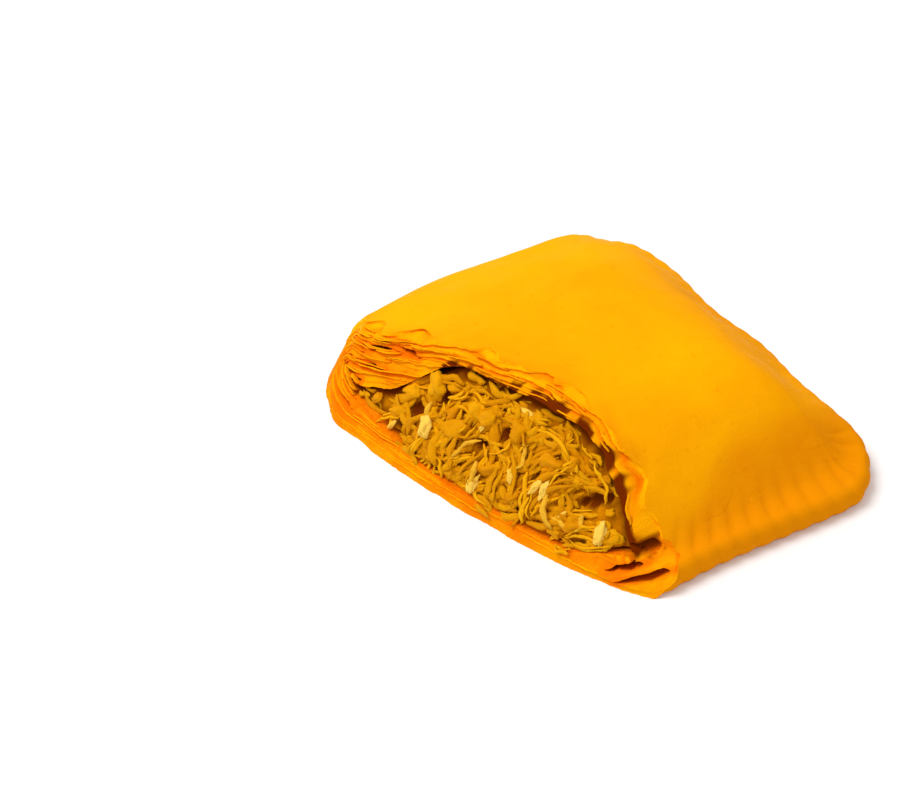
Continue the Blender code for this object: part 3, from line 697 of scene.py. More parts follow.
cut = {
    "atCrimp": -27.5,
    "atFold": -60.0,
    "slope": math.tan(math.radians(36.3)),
    "bow": 5.2,
    "crimpTurn": 4.0,
    "crimpTurnShare": 0.12,
    "foldTurn": 13.2,
    "foldTurnShare": 0.2,
    "reach": 90.0,
    "cellsAcross": 420,
    "cellsUp": 136,
    "nearest": -2.0,  # the cutting form goes a little past the dough on every side
    "beyondFold": 3.0,
    "lowest": -1.0,
    "highest": 32.0,
}
ragged = {
    "face": 0.7,
    "faceShare": 0.6,  # length of the face's waves, as a share of the edge's
    "faceStretch": 1.6,
    "faceCalm": 5.0,  # the face is straighter at the base
    "edge": 1.5,
    "length": 9.0,
    "topLayers": 5.0,
    "bites": ((41.0, 1.2), (20.0, 1.2), (6.0, 1.8), (79.0, 1.6)),  # distance from the front, depth
    "biteSpread": 4.5,
}
layers = {
    "pitch": 1.15,
    "warp": 1.0,
    "warpLength": 9.0,
    "step": 0.62,  # how far one layer stands out of or behind the next
    "stepLength": 10.0,
    "stepApart": 3.7,  # how far apart neighbouring layers lie in the noise
    "fineStep": 0.3,
    "fineLength": 3.0,
    "fineApart": 5.3,
    "groove": 0.75,
    "grooveShare": 0.34,
    "grooveSwing": 0.7,
    "grooveApart": 4.1,
    "looseLength": 26.0,
    "looseSwing": 1.9,
    "looseApart": 2.3,
    "looseByHeight": (-0.35, 0.42),  # share of open seams in the lower crust and in the upper one
    "looseRise": (2.0, 4.0),  # where the upper one starts, and over how far
    "looseAtEnds": 0.25,
    "looseNearFold": (76.0, 10.0),  # more of them beyond here, and over how far
    "looseNearFront": (16.0, 8.0),  # and before here
    "underCalm": 0.15,  # the underside's layers are pressed together
    "calmEnd": (2.0, 5.0),  # up to this height, and over how far
    "grain": 0.16,
    "grainLength": 0.9,
    "chip": 2.0,  # the outer layers broke off in stretches, and further at set places
    "chipSharpness": 3.0,
    "chipRarity": 0.2,
    "chipDepth": 1.2,
    "chipEase": 0.4,
    "chipRough": 0.3,
    "chipRoughLength": 3.0,
    "chipLength": 8.0,
    "chipPlaces": ((9.5, 4.2, 5.0), (15.5, 1.6, 3.5), (40.0, 1.8, 4.0), (79.0, 2.2, 4.0), (90.0, 2.4, 3.0)),
}


def cutX(y, z):
    share = y / parcel["width"]
    x = lerp(cut["atCrimp"], cut["atFold"], share) - cut["bow"] * archScale * share * (1.0 - share)
    x += cut["crimpTurn"] * clamp(1.0 - share / cut["crimpTurnShare"]) ** 2
    x += cut["foldTurn"] * clamp(1.0 - (1.0 - share) / cut["foldTurnShare"]) ** 2
    return x + cut["slope"] * z


def rawEdge(y, z):  # the ragged and bitten top edge of the cut
    x = cutX(y, z)
    length = ragged["faceShare"] * ragged["length"]
    face = ragged["face"] * rippleOver(length, y, z * ragged["faceStretch"])
    edge = ragged["edge"] * ripple(y / ragged["length"], 0.5)
    for spot, depth in ragged["bites"]:
        edge += depth * hump(y - spot, ragged["biteSpread"])
    nearTop = smooth((z - dome(x, y)) / ragged["topLayers"] + 1.0)
    return face * past(z, cut["lowest"], ragged["faceCalm"]) + edge * nearTop


def grooveAt(spot, depth):  # the layer, and 1 along the open seam between it and the next
    y, z = spot.y, spot.z
    count = depth / layers["pitch"] + layers["warp"] * rippleOver(layers["warpLength"], y, z, 2.0)
    layer = math.floor(count)
    seam = round(count)
    loose = lerp(*layers["looseByHeight"], past(z, *layers["looseRise"]))
    atEnds = past(y, *layers["looseNearFold"]) + before(y, *layers["looseNearFront"])
    loose += layers["looseAtEnds"] * atEnds
    length = layers["looseLength"]
    swing = layers["looseSwing"] * ripple(seam * layers["looseApart"], y / length, z / length + 9.0)
    loose = smooth(loose + swing)
    swing = layers["grooveSwing"] * ripple(seam * layers["grooveApart"], y / layers["stepLength"], 15.0)
    width = layers["grooveShare"] * (1.0 + swing)
    return layer, loose * (1.0 - smooth(abs(count - seam) / width))


def calmAt(z):
    return lerp(layers["underCalm"], 1.0, past(z, *layers["calmEnd"]))


def chipAt(spot, depth):  # how far the outer layers broke off here
    y, z = spot.y, spot.z
    broken = layers["chipSharpness"] * rippleOver(layers["chipLength"], y, z, 12.0) - layers["chipRarity"]
    chip = layers["chip"] * smooth(broken)
    for place, back, spread in layers["chipPlaces"]:
        chip += back * hump(y - place, spread, 4)
    rough = layers["chipRough"] * ripple(y / layers["chipRoughLength"], 0.0, 21.0)
    chip *= 1.0 - smooth((depth - layers["chipDepth"] - rough + layers["chipEase"]) / layers["chipEase"])
    return calmAt(z) * chip


def layerRelief(spot, depth):
    y, z = spot.y, spot.z
    layer, groove = grooveAt(spot, depth)
    length, fine = layers["stepLength"], layers["fineLength"]
    step = layers["step"] * ripple(layer * layers["stepApart"], y / length, z / length)
    step += layers["fineStep"] * ripple(layer * layers["fineApart"], y / fine, z / fine)
    grain = layers["grain"] * rippleOver(layers["grainLength"], y, z, 6.0)
    return calmAt(z) * (step + layers["groove"] * groove) + chipAt(spot, depth) + grain


def cutForm(name, collection, relief, finish, cellsAcross, cellsUp):
    bm = newGrid(cellsAcross, cellsUp, 0.5)
    for vert in bm.verts:
        y = lerp(cut["nearest"], parcel["width"] + cut["beyondFold"], vert.co.x + 0.5)
        z = lerp(cut["lowest"], cut["highest"], vert.co.y + 0.5)
        spot = Vector((cutX(clamp(y / parcel["width"]) * parcel["width"], z), y, z))
        spot.x += relief(spot)
        vert.co = spot
    for vert in extrudedVerts(bm):
        vert.co.x = -cut["reach"]
    return finishMesh(bm, name, collection, finish)


# Cracks between the layers: distance from the crimped front and height of both ends, and half the gap

cracks = {
    "slits": (
        ((13.6, 2.5), (8.0, 6.4), 0.8),
        ((10.7, 1.1), (3.2, 5.9), 0.9),
        ((12.4, 9.2), (5.2, 7.0), 1.0),
        ((97.0, 6.5), (84.5, 10.0), 0.55),
        ((89.0, 11.6), (80.5, 14.8), 0.55),
        ((91.0, 14.2), (82.0, 18.4), 0.55),
        ((94.5, 4.0), (82.5, 4.6), 0.55),
        ((80.5, 19.4), (74.0, 20.6), 0.55),
    ),
    "depth": 5.0,
    "segments": (28, 10),
    "widerAtEnd": 0.5,
    "wobble": 0.6,
    "wobbleRate": 2.2,
    "browned": 0.8,  # the dough is browner round them
    "brownedReach": 1.7,
    "gapShade": 0.7,  # painted shade inside them, from this far behind the cut
    "shadeFrom": 0.8,
}


def legBetween(start, end):
    runX, runY = end[0] - start[0], end[1] - start[1]
    return start[0], start[1], runX, runY, runX ** 2 + runY ** 2


def besideCrack(y, z):  # 1 at a crack, 0 well beside it
    nearest = min(distanceTo(y, z, legBetween(start, end)) for start, end, _ in cracks["slits"])
    return smooth(1.0 - nearest / cracks["brownedReach"])


# Painted shade in the gap between roof and filling: distances from the crimped front, and how far up

gapShade = {
    "stretches": (
        (9.6, 22.5, 1.6),
        (23.6, 28.6, 1.7),
        (30.8, 35.6, 1.6),
        (38.0, 47.8, 1.4),
        (50.0, 52.6, 1.6),
        (52.6, 65.5, 0.5),
        (65.5, 69.0, 1.3),
    ),
    "below": 1.3,  # and how far down
    "ease": 0.9,
    "ragged": 0.9,
    "raggedLength": 2.2,
    "keepsOut": 0.5,  # no shred starts where the painted shade is stronger than this, or crosses where it is stronger than the next
    "letsCross": 0.7,
}


def roofGapShadeAt(y, z):  # 1 where shade is painted in the gap under the roof, 0 beside it
    above = z - pocketTop(cutX(y, z), y)
    above += gapShade["ragged"] * rippleOver(gapShade["raggedLength"], y, z, 12.0)
    most = 0.0
    for near, far, reach in gapShade["stretches"]:
        inStretch = smooth(0.5 + min(y - near, far - y) / gapShade["ease"])
        inBand = smooth(0.5 + min(reach - above, above + gapShade["below"]) / gapShade["ease"])
        most = max(most, inStretch * inBand)
    return most


def crackForm(name, collection, start, end, halfGap, finish):
    near = Vector((cutX(*start), *start))
    far = Vector((cutX(*end), *end))
    run = far - near
    thick = run.cross(Vector((1.0, 0.0, 0.0))).normalized()
    depth = thick.cross(run).normalized()
    bm = bmesh.new()
    across, up = cracks["segments"]
    bmesh.ops.create_uvsphere(bm, u_segments=across, v_segments=up, radius=1.0)
    for vert in bm.verts:
        vert.co.z *= 1.0 + cracks["widerAtEnd"] * vert.co.x
        vert.co.z += cracks["wobble"] * ripple(vert.co.x * cracks["wobbleRate"], near.y, 5.0)
    turn = Matrix((run / 2, depth * cracks["depth"], thick * halfGap)).transposed().to_4x4()
    bmesh.ops.transform(bm, matrix=Matrix.Translation((near + far) / 2) @ turn, verts=bm.verts)
    return finishMesh(bm, name, collection, finish)


def treeOf(obj):
    bm = bmesh.new()
    bm.from_mesh(obj.data)
    tree = BVHTree.FromBMesh(bm)
    bm.free()
    return tree


def markPoints(obj, name, valueAt):
    attribute = obj.data.attributes.new(name, "FLOAT", "POINT")
    attribute.data.foreach_set("value", [valueAt(vert.co) for vert in obj.data.vertices])


browningAndLight = {
    "top": 0.42,
    "paintedLightToFold": (58.0, 34.0),  # painted light: paler from here to the fold, and over how far
    # browner front slope: oven browning, and painted shade as well
    "slope": 0.62,
    "slopeStart": (10.0, 17.0),  # how far up the front slope it is browner, by the cut and at the end
    "slopeTurn": (-16.0, 22.0),  # x where it starts to reach further, and over how far
    "slopeReach": 7.0,
    "end": 0.2,
    "endReach": (9.0, 8.0),  # how far from the end's edge, and over how far
    "paintedLightPatch": (2.0, 28.0, 18.0, 0.32),  # painted light on the crown: x, y, spread and how much paler
    "lip": 0.55,  # the skin is browner along the torn edge
    "lipReach": 2.6,
    "lipShare": 0.7,
    "lipSwing": 1.2,
    "lipLengths": (5.0, 3.0),
    "innerLayers": 0.36,
    "innerReach": 4.0,
    "lowLayers": 0.65,
    "lowLayersEnd": (8.0, 5.0),  # up to this height, and over how far
    "atTip": 0.35,  # the front tip of the cut stays paler
    "pastTip": (5.0, 9.0),
}


def bakeAndLightAt(co):  # 0 where it is palest yellow, 1 where it is deepest orange: oven browning, with painted light towards the fold and on the crown, and painted shade on the front slope
    end = edgeDistances(co.x, co.y)[1]
    top = browningAndLight["top"] * (1.0 - past(co.y, *browningAndLight["paintedLightToFold"]))
    start = lerp(*browningAndLight["slopeStart"], past(co.x, *browningAndLight["slopeTurn"]))
    slope = browningAndLight["slope"] * smooth((start - co.y) / browningAndLight["slopeReach"] + 0.5)
    patchX, patchY, spread, paler = browningAndLight["paintedLightPatch"]
    pale = paler * math.exp(-((co.x - patchX) ** 2 + (co.y - patchY) ** 2) / spread ** 2)
    behind = max(co.x - cutX(co.y, co.z) - rawEdge(co.y, co.z), 0.0)
    length, depth = browningAndLight["lipLengths"]
    uneven = browningAndLight["lipShare"] + browningAndLight["lipSwing"] * ripple(co.y / length, behind / depth, 2.0)
    lip = browningAndLight["lip"] * math.exp(-behind / browningAndLight["lipReach"]) * uneven
    return clamp(top - pale + slope + browningAndLight["end"] * before(end, *browningAndLight["endReach"]) + lip)


def layerBakeAt(co, depth):
    pastTip = lerp(browningAndLight["atTip"], 1.0, past(co.y, *browningAndLight["pastTip"]))
    inside = browningAndLight["innerLayers"] * smooth(depth / browningAndLight["innerReach"])
    low = browningAndLight["lowLayers"] * before(co.z, *browningAndLight["lowLayersEnd"])
    return clamp(pastTip * (inside + low) + cracks["browned"] * besideCrack(co.y, co.z))


def buildCrust(collection, tools, finishes):
    crust = skinForm(collection)
    dress(crust, *finishes)  # the slots have to be there before the cut, for its faces to keep theirs
    tree = treeOf(crust)
    pocketForm("pocket", tools, 0.0, pocketFloor, pocketTop, finish=2)

    def depthAt(co):
        return tree.find_nearest(co)[3]

    def relief(spot):
        return rawEdge(spot.y, spot.z) + layerRelief(spot, depthAt(spot))

    cutForm("crustCut", tools, relief, 1, cut["cellsAcross"], cut["cellsUp"])
    for index, (start, end, halfGap) in enumerate(cracks["slits"]):
        crackForm(f"crack{index}", tools, start, end, halfGap, 1)
    cutAway(crust, tools)

    def behindAt(co):  # how deep it lies in a seam, a crack or the pocket
        return co.x - cutX(co.y, co.z) - rawEdge(co.y, co.z) - chipAt(co, depthAt(co))

    # painted shade in the roof gap and inside the cracks
    def crustGapShadeAt(co):
        inCrack = besideCrack(co.y, co.z) * smooth(behindAt(co) - cracks["shadeFrom"])
        return max(roofGapShadeAt(co.y, co.z), cracks["gapShade"] * inCrack)

    markPoints(crust, "seam", lambda co: grooveAt(co, depthAt(co))[1])
    markPoints(crust, "behind", behindAt)
    markPoints(crust, "layerBake", lambda co: layerBakeAt(co, depthAt(co)))
    # oven browning of the skin, with painted light and shade
    markPoints(crust, "bake", bakeAndLightAt)
    markPoints(crust, "gapShade", crustGapShadeAt)
    return crust, tree


# Filling: pale chunks at set places on the cut, then lumps and shreds spread by rule

filling = {
    "recessTop": 1.4,
    "recessFloor": 0.3,
    "bulge": 1.6,
    "bulgeRoom": 7.0,
    "lumpRelief": 1.2,
    "lumpLength": 6.0,
    "spilledBack": 0.7,  # only courses nearer than this hang over the lower crust
    "spilledOut": 0.9,
    "spilledEase": (0.6, 1.2),  # from this high over the floor, and over how far
    "overhang": (33.0, 10.0, 0.45),  # where they hang furthest over it, spread and how much further
    "coreBack": 1.7,  # the core lies behind the shreds
    "coreRough": 0.7,
    "coreRoughLength": 1.7,
    "hollowDepth": 1.8,
    "hollowEase": 1.5,
    "hollowMargin": 0.2,  # shreds keep this clear of a hole, and a share of their width crossing it
    "hollowShare": 0.3,
    "cellsAcross": 240,
    "cellsUp": 76,
    "grain": 100.0,  # the way the shreds mostly run on the face, in degrees
    "grainSpread": 170.0,
    "grainLength": 13.0,
    "roofGrain": (25.0, -35.0),  # under the roof they follow it, by the front and by the fold
    "roofGrainReach": 5.0,
    "roofGrainTurn": (35.0, 30.0),
}
coreToneAndShade = {  # painted shade: the core is darker the deeper it lies behind the shreds and under the roof, and in the holes and the roof gap
    "mean": 0.6,
    "swing": 0.5,
    "length": 2.5,
    "behind": 0.4,
    "behindFrom": 0.4,
    "underRoof": 1.4,
    "roofReach": 4.5,
    "gaps": 1.3,
}
paleChunks = (  # distance from the crimped front, height, length, breadth, turn
    (64.0, 10.6, 5.6, 2.7, 62.0),
    (47.5, 5.3, 4.2, 2.3, 75.0),
    (18.4, 8.7, 6.4, 2.5, 70.0),
    (33.0, 11.4, 4.2, 1.9, 80.0),
)
darkHollows = (  # holes between the shreds, sunk into the core and darkened with painted shade: distance from the crimped front, height, radius
    (25.6, 11.5, 0.9),
    (23.7, 12.9, 1.25),
    (22.2, 13.7, 0.9),
    (64.3, 16.4, 1.5),
    (68.4, 11.6, 1.4),
    (70.1, 7.2, 1.2),
    (51.2, 12.9, 1.1),
    (47.3, 16.4, 1.2),
)
lightStrands = (  # distance from the crimped front, height, turn, length, width, curl
    (30.4, 8.2, 57.0, 9.0, 1.5, 0.12),
    (26.0, 7.4, 5.0, 6.0, 1.2, 0.1),
    (22.9, 9.0, 70.0, 4.5, 1.2, -0.1),
    (64.8, 12.6, 62.0, 6.5, 1.5, 0.15),
    (41.0, 14.5, 84.0, 7.5, 1.2, -0.2),
    (53.5, 11.5, 118.0, 8.0, 1.3, 0.2),
    (48.6, 7.6, 75.0, 6.0, 1.3, -0.1),
)
shreds = {
    "seed": 7,
    "courses": ((1.7, 4.0), (1.0, 4.0), (0.3, 4.6)),  # how far back each course lies, and its spacing
    "ribbons": (1, 3),
    "lengths": (6.0, 15.0),
    "widths": (0.9, 2.3),
    "thickness": 0.42,  # share of the width
    "tones": (0.1, 0.8),
    "toneSpread": 0.12,
    "margin": 0.35,
    "spill": 1.2,  # the outermost hang this far over the lower crust
    "shortest": 3.0,
    "curl": 0.24,
    "sway": 0.7,
    "sides": 8,
}
threads = {
    "seed": 9,
    "courses": ((0.6, 5.5), (0.0, 7.0)),
    "ribbons": (1, 2),
    "lengths": (5.0, 13.0),
    "widths": (0.6, 1.15),
    "thickness": 0.7,
    "tones": (0.0, 0.7),
    "toneSpread": 0.15,
    "margin": 0.3,
    "spill": 1.2,
    "shortest": 3.5,
    "curl": 0.25,
    "sway": 0.8,
    "sides": 6,
}
bundle = {  # how ribbons are laid, and how those of one bundle differ
    "turns": (0.0, 30.0, -30.0, 60.0, -60.0, 90.0),  # tried in this order until one fits
    "shrink": 0.85,
    "longEnough": 0.7,
    "turnSpread": 0.4,
    "tilt": 0.14,
    "apart": (0.8, 1.25),
    "slip": 1.0,
    "lift": 0.4,
    "shares": (0.75, 1.0),
    "cuts": 7,
}
strand = {  # the form of one ribbon: narrower at its ends, uneven, twisted and curled
    "endsNarrow": 0.65,
    "widthSwing": 0.4,
    "widthRate": 2.2,
    "thickSwing": 0.5,
    "thickRate": 3.0,
    "twist": 1.2,
    "twistRate": 0.9,
    "curlMiddle": 0.35,
    "sideRate": 1.6,
    "outRate": 1.4,
    "streakLength": 0.12,
    "lightProud": 0.3,
    "lightTone": 0.8,
}
lumps = {
    "seed": 11,
    "spacing": 4.6,
    "radii": (1.0, 2.3),
    "stretches": (1.0, 1.7),
    "thickness": 0.8,
    "backs": (0.2, 1.6),
    "tones": (0.0, 0.8),
    "margin": 0.9,
    "hollowShare": 0.7,
    "wobble": 0.55,
    "detail": 3,
    "rate": 1.3,
    "fineRate": 3.1,
    "fineShare": 0.5,
    "paleWobble": 0.45,
    "paleDetail": 4,
    "paleTone": 0.9,
    "paleBack": 0.2,
    "smallSpacing": 13.0,
    "smallRadii": (0.5, 0.9),
    "smallTones": (0.3, 0.9),
    "smallStretch": 2.4,
    "smallWobble": 0.5,
}
rowsPerColumn = 1.2  # when spots are spread over the cut
phases = 90.0  # how far apart two pieces can lie in the noise


def fillingRelief(y, z):
    x = cutX(y, z)
    floor, top = pocketFloor(x, y), pocketTop(x, y)
    recess = lerp(filling["recessFloor"], filling["recessTop"], clamp((z - floor) / (top - floor)))
    bulge = filling["bulge"] * smooth(min(z - floor, top - z) / filling["bulgeRoom"])
    bumps = filling["lumpRelief"] * rippleOver(filling["lumpLength"], y, z, 0.05)
    return recess - bulge + bumps


def fillingOut(y, z):
    return -fillingRelief(y, z) * math.cos(math.atan(cut["slope"]))


def faceFrame(y, z):
    spot = Vector((cutX(y, z), y, z))
    across = (Vector((cutX(y + 1.0, z), y + 1.0, z)) - spot).normalized()
    up = (Vector((cutX(y, z + 1.0), y, z + 1.0)) - spot).normalized()
    out = up.cross(across).normalized()
    if out.x > 0.0:
        out.negate()
    return spot, across, up, out


def hollowAt(y, z):  # 1 in the middle of a dark hole, 0 well outside
    offs = (math.hypot(y - spotY, z - spotZ) / radius for spotY, spotZ, radius in darkHollows)
    return smooth(filling["hollowEase"] - min(offs))


def inHollow(y, z, spare):
    return any(math.hypot(y - spotY, z - spotZ) < radius + spare for spotY, spotZ, radius in darkHollows)


def fits(y, z, margin, spill=0.0):
    if y < pocket["insetCrimp"] + margin or y > parcel["width"] - pocket["insetFold"] - margin:
        return False
    if inHollow(y, z, filling["hollowMargin"]) or roofGapShadeAt(y, z) > gapShade["keepsOut"]:
        return False
    x = cutX(y, z)
    middle, spread, further = filling["overhang"]
    spill *= 1.0 + further * hump(y - middle, spread)
    return fillingFloor(x, y) + margin - spill < z < fillingTop(x, y) - margin


def crossesHollow(centre, run, reach, width, steps=8):
    spare = filling["hollowShare"] * width
    for step in range(steps + 1):
        point = centre + run * (reach * (step - steps // 2) / steps)
        if inHollow(point.y, point.z, spare) or roofGapShadeAt(point.y, point.z) > gapShade["letsCross"]:
            return True
    return False


def turned(across, up, angle):
    return (
        across * math.cos(angle) + up * math.sin(angle),
        up * math.cos(angle) - across * math.sin(angle),
    )


def strandFrame(y, z, angle):  # a place on the cut, along a strand, beside it and out of the cut
    spot, across, up, out = faceFrame(y, z)
    run, side = turned(across, up, angle)
    return spot, run, side, out


def grainAngle(y, z):
    swing = filling["grainSpread"] * rippleOver(filling["grainLength"], y, z, 7.0)
    top = fillingTop(cutX(y, z), y)
    nearRoof = smooth(1.0 - (top - z) / filling["roofGrainReach"])
    alongRoof = lerp(*filling["roofGrain"], past(y, *filling["roofGrainTurn"]))
    return math.radians(lerp(filling["grain"] + swing, alongRoof, nearRoof))


def spreadSpots(draw, spacing):
    spots = []
    for column in range(math.ceil(parcel["width"] / spacing)):
        for row in range(math.ceil(dough["crown"] / spacing * rowsPerColumn)):
            y = (column + draw.uniform(0.0, 1.0)) * spacing
            z = (row + draw.uniform(0.0, 1.0)) * spacing / rowsPerColumn
            spots.append((y, z))
    return spots


def fittedLength(y, z, angle, length, kind, spill):
    while length > kind["shortest"]:
        if all(
            fits(y + math.cos(angle) * reach, z + math.sin(angle) * reach, kind["margin"], spill)
            for reach in (-length / 2, -length / 4, 0.0, length / 4, length / 2)
        ):
            return length
        length *= bundle["shrink"]
    return 0.0


def bestTurn(y, z, angle, length, kind, spill):
    best = (0.0, angle)
    for turn in bundle["turns"]:
        tried = angle + math.radians(turn)
        fitted = fittedLength(y, z, tried, length, kind, spill)
        if fitted > bundle["longEnough"] * length:
            return fitted, tried
        best = max(best, (fitted, tried))
    return best


class Pile:
    # many small meshes joined into one piece; each vertex keeps its tone and its place along the strand

    def __init__(self, name):
        self.name = name
        self.bm = bmesh.new()
        self.tones = []
        self.places = []

    def add(self, small, tone, places=None):
        count = len(small.verts)
        mesh = meshOf(small, "small")
        self.bm.from_mesh(mesh)
        bpy.data.meshes.remove(mesh)
        self.tones += [tone] * count
        self.places += places or [(0.0, 0.0, 0.0)] * count

    def finish(self, collection):
        bmesh.ops.recalc_face_normals(self.bm, faces=self.bm.faces[:])
        mesh = meshOf(self.bm, self.name)
        mesh.attributes.new("tone", "FLOAT", "POINT").data.foreach_set("value", self.tones)
        flat = [value for place in self.places for value in place]
        mesh.attributes.new("strand", "FLOAT_VECTOR", "POINT").data.foreach_set("vector", flat)
        mesh.shade_smooth()
        return newObject(self.name, mesh, collection)


def ribbon(centre, run, side, out, length, width, kind, curl, phase):
    bm = bmesh.new()
    bmesh.ops.create_cone(bm, cap_ends=True, segments=kind["sides"], radius1=1.0, radius2=1.0, depth=2.0)
    upright = [edge for edge in bm.edges if abs(edge.verts[0].co.z - edge.verts[1].co.z) > 1.0]
    bmesh.ops.subdivide_edges(bm, edges=upright, cuts=bundle["cuts"])
    half = width / 2
    places = []
    for vert in bm.verts:
        x, y, share = vert.co
        narrow = 1.0 - strand["endsNarrow"] * share ** 4
        narrow *= 1.0 + strand["widthSwing"] * ripple(share * strand["widthRate"], phase)
        thick = 1.0 + strand["thickSwing"] * ripple(share * strand["thickRate"], x, phase)
        twist = strand["twist"] * ripple(share * strand["twistRate"], phase, 11.0)
        aside, proud = turned(x * half * narrow, y * half * kind["thickness"] * narrow * thick, -twist)
        places.append((x + phase, y + phase, share * length * strand["streakLength"]))
        curled = curl * length * (share * share - strand["curlMiddle"])
        spot = centre + run * (length / 2) * share + side * curled
        spot = spot + side * kind["sway"] * ripple(share * strand["sideRate"], phase, 3.0)
        spot = spot + out * kind["sway"] * ripple(share * strand["outRate"], phase, 6.0)
        vert.co = spot + side * aside + out * proud
    return bm, places


def lump(centre, axes, wobble, subdivisions, phase):
    bm = bmesh.new()
    bmesh.ops.create_icosphere(bm, subdivisions=subdivisions, radius=1.0)
    for vert in bm.verts:
        rough = noise.noise(vert.co * lumps["rate"] + Vector((phase, 0.0, 0.0)))
        rough += lumps["fineShare"] * noise.noise(vert.co * lumps["fineRate"] + Vector((0.0, phase, 0.0)))
        spot = vert.co * (1.0 + wobble * rough)
        vert.co = centre + axes[0] * spot.x + axes[1] * spot.y + axes[2] * spot.z
    return bm


def buildShreds(name, kind, collection):
    draw = random.Random(kind["seed"])
    pile = Pile(name)
    for back, spacing in kind["courses"]:
        spill = kind["spill"] if back < filling["spilledBack"] else 0.0
        for y, z in spreadSpots(draw, spacing):
            turn = draw.gauss(0.0, bundle["turnSpread"])
            wanted = draw.uniform(*kind["lengths"])
            curl = draw.uniform(-1.0, 1.0) * kind["curl"]
            bundleTone = draw.uniform(*kind["tones"])
            tilt = draw.uniform(-bundle["tilt"], bundle["tilt"])
            count = draw.randint(*kind["ribbons"])
            if not fits(y, z, kind["margin"], spill):
                continue
            length, angle = bestTurn(y, z, grainAngle(y, z) + turn, wanted, kind, spill)
            if length == 0.0:
                continue
            spot, run, side, out = strandFrame(y, z, angle)
            run = (run + out * tilt).normalized()
            above, ease = filling["spilledEase"]
            over = before(z, fillingFloor(spot.x, y) + above, ease) if spill else 0.0
            base = spot + out * (fillingOut(y, z) - back + filling["spilledOut"] * over)
            for index in range(count):
                width = draw.uniform(*kind["widths"])
                aside = (index - (count - 1) / 2) * width * draw.uniform(*bundle["apart"])
                slip = run * draw.uniform(-bundle["slip"], bundle["slip"])
                centre = base + side * aside + slip + out * draw.uniform(-bundle["lift"], bundle["lift"])
                reach = length * draw.uniform(*bundle["shares"])
                phase = draw.uniform(0.0, phases)
                tone = clamp(bundleTone + draw.uniform(-1.0, 1.0) * kind["toneSpread"])
                if crossesHollow(centre, run, reach, width):
                    continue
                small, places = ribbon(centre, run, side, out, reach, width, kind, curl, phase)
                pile.add(small, tone, places)
    return pile.finish(collection)


def buildLightStrands(collection):
    pile = Pile("lightStrands")
    for y, z, angle, length, width, curl in lightStrands:
        spot, run, side, out = strandFrame(y, z, math.radians(angle))
        centre = spot + out * (fillingOut(y, z) + strand["lightProud"])
        small, places = ribbon(centre, run, side, out, length, width, threads, curl, y)
        pile.add(small, strand["lightTone"], places)
    return pile.finish(collection)


def addLump(pile, y, z, angle, back, radii, wobble, detail, phase, tone):
    spot, run, side, out = strandFrame(y, z, angle)
    centre = spot + out * (fillingOut(y, z) - back)
    axes = [way * radius for way, radius in zip((run, side, out), radii)]
    pile.add(lump(centre, axes, wobble, detail, phase), tone)


def buildLumps(collection):
    draw = random.Random(lumps["seed"])
    pile = Pile("meatLumps")
    for y, z in spreadSpots(draw, lumps["spacing"]):
        radius = draw.uniform(*lumps["radii"])
        stretch = draw.uniform(*lumps["stretches"])
        angle = draw.uniform(0.0, math.pi)
        back = draw.uniform(*lumps["backs"])
        tone = draw.uniform(*lumps["tones"])
        clear = not inHollow(y, z, lumps["hollowShare"] * radius)
        if not fits(y, z, radius * lumps["margin"]) or not clear:
            continue
        radii = (radius * stretch, radius, radius * lumps["thickness"])
        phase = draw.uniform(0.0, phases)
        addLump(pile, y, z, angle, back, radii, lumps["wobble"], lumps["detail"], phase, tone)
    return pile.finish(collection)


def buildPaleChunks(collection):
    draw = random.Random(lumps["seed"])
    pile = Pile("paleChunks")
    back = lumps["paleBack"]
    for y, z, length, breadth, angle in paleChunks:
        radii = (length / 2, breadth / 2, breadth / 2)
        addLump(
            pile, y, z, math.radians(angle), back, radii, lumps["paleWobble"], lumps["paleDetail"], y,
            lumps["paleTone"],
        )
    for y, z in spreadSpots(draw, lumps["smallSpacing"]):
        radius = draw.uniform(*lumps["smallRadii"])
        tone = draw.uniform(*lumps["smallTones"])
        if not fits(y, z, radius):
            continue
        radii = (radius * lumps["smallStretch"], radius, radius)
        angle = grainAngle(y, z)
        addLump(pile, y, z, angle, back, radii, lumps["smallWobble"], lumps["detail"], y + z, tone)
    return pile.finish(collection)


def buildCore(collection, tools, finish):
    core = pocketForm("fillingCore", collection, pocket["fillingGap"], fillingFloor, fillingTop)
    dress(core, finish)

    def relief(spot):
        rough = filling["coreRough"] * rippleOver(filling["coreRoughLength"], spot.y, spot.z)
        sunk = filling["coreBack"] + filling["hollowDepth"] * hollowAt(spot.y, spot.z)
        return fillingRelief(spot.y, spot.z) + sunk + rough

    cutForm("fillingCut", tools, relief, 0, filling["cellsAcross"], filling["cellsUp"])
    cutAway(core, tools)
    inside = filling["coreBack"] + coreToneAndShade["behindFrom"]

    # random tone, darkened with painted shade behind the shreds, under the roof, in the holes and in the
    # roof gap
    def toneAndShadeAt(co):
        behind = co.x - cutX(co.y, co.z) - fillingRelief(co.y, co.z) - inside
        underRoof = smooth(1.0 - (pocketTop(co.x, co.y) - co.z) / coreToneAndShade["roofReach"])
        gap = max(hollowAt(co.y, co.z), roofGapShadeAt(co.y, co.z))
        tone = coreToneAndShade["mean"] + coreToneAndShade["swing"] * rippleOver(coreToneAndShade["length"], co.y, co.z, 1.0)
        tone -= coreToneAndShade["behind"] * behind
        tone -= coreToneAndShade["underRoof"] * underRoof
        return clamp(tone - coreToneAndShade["gaps"] * gap)

    markPoints(core, "tone", toneAndShadeAt)
    return core


# Loose leaves: thin sheets of pastry that stand out of the cut along its layers, with ragged edges

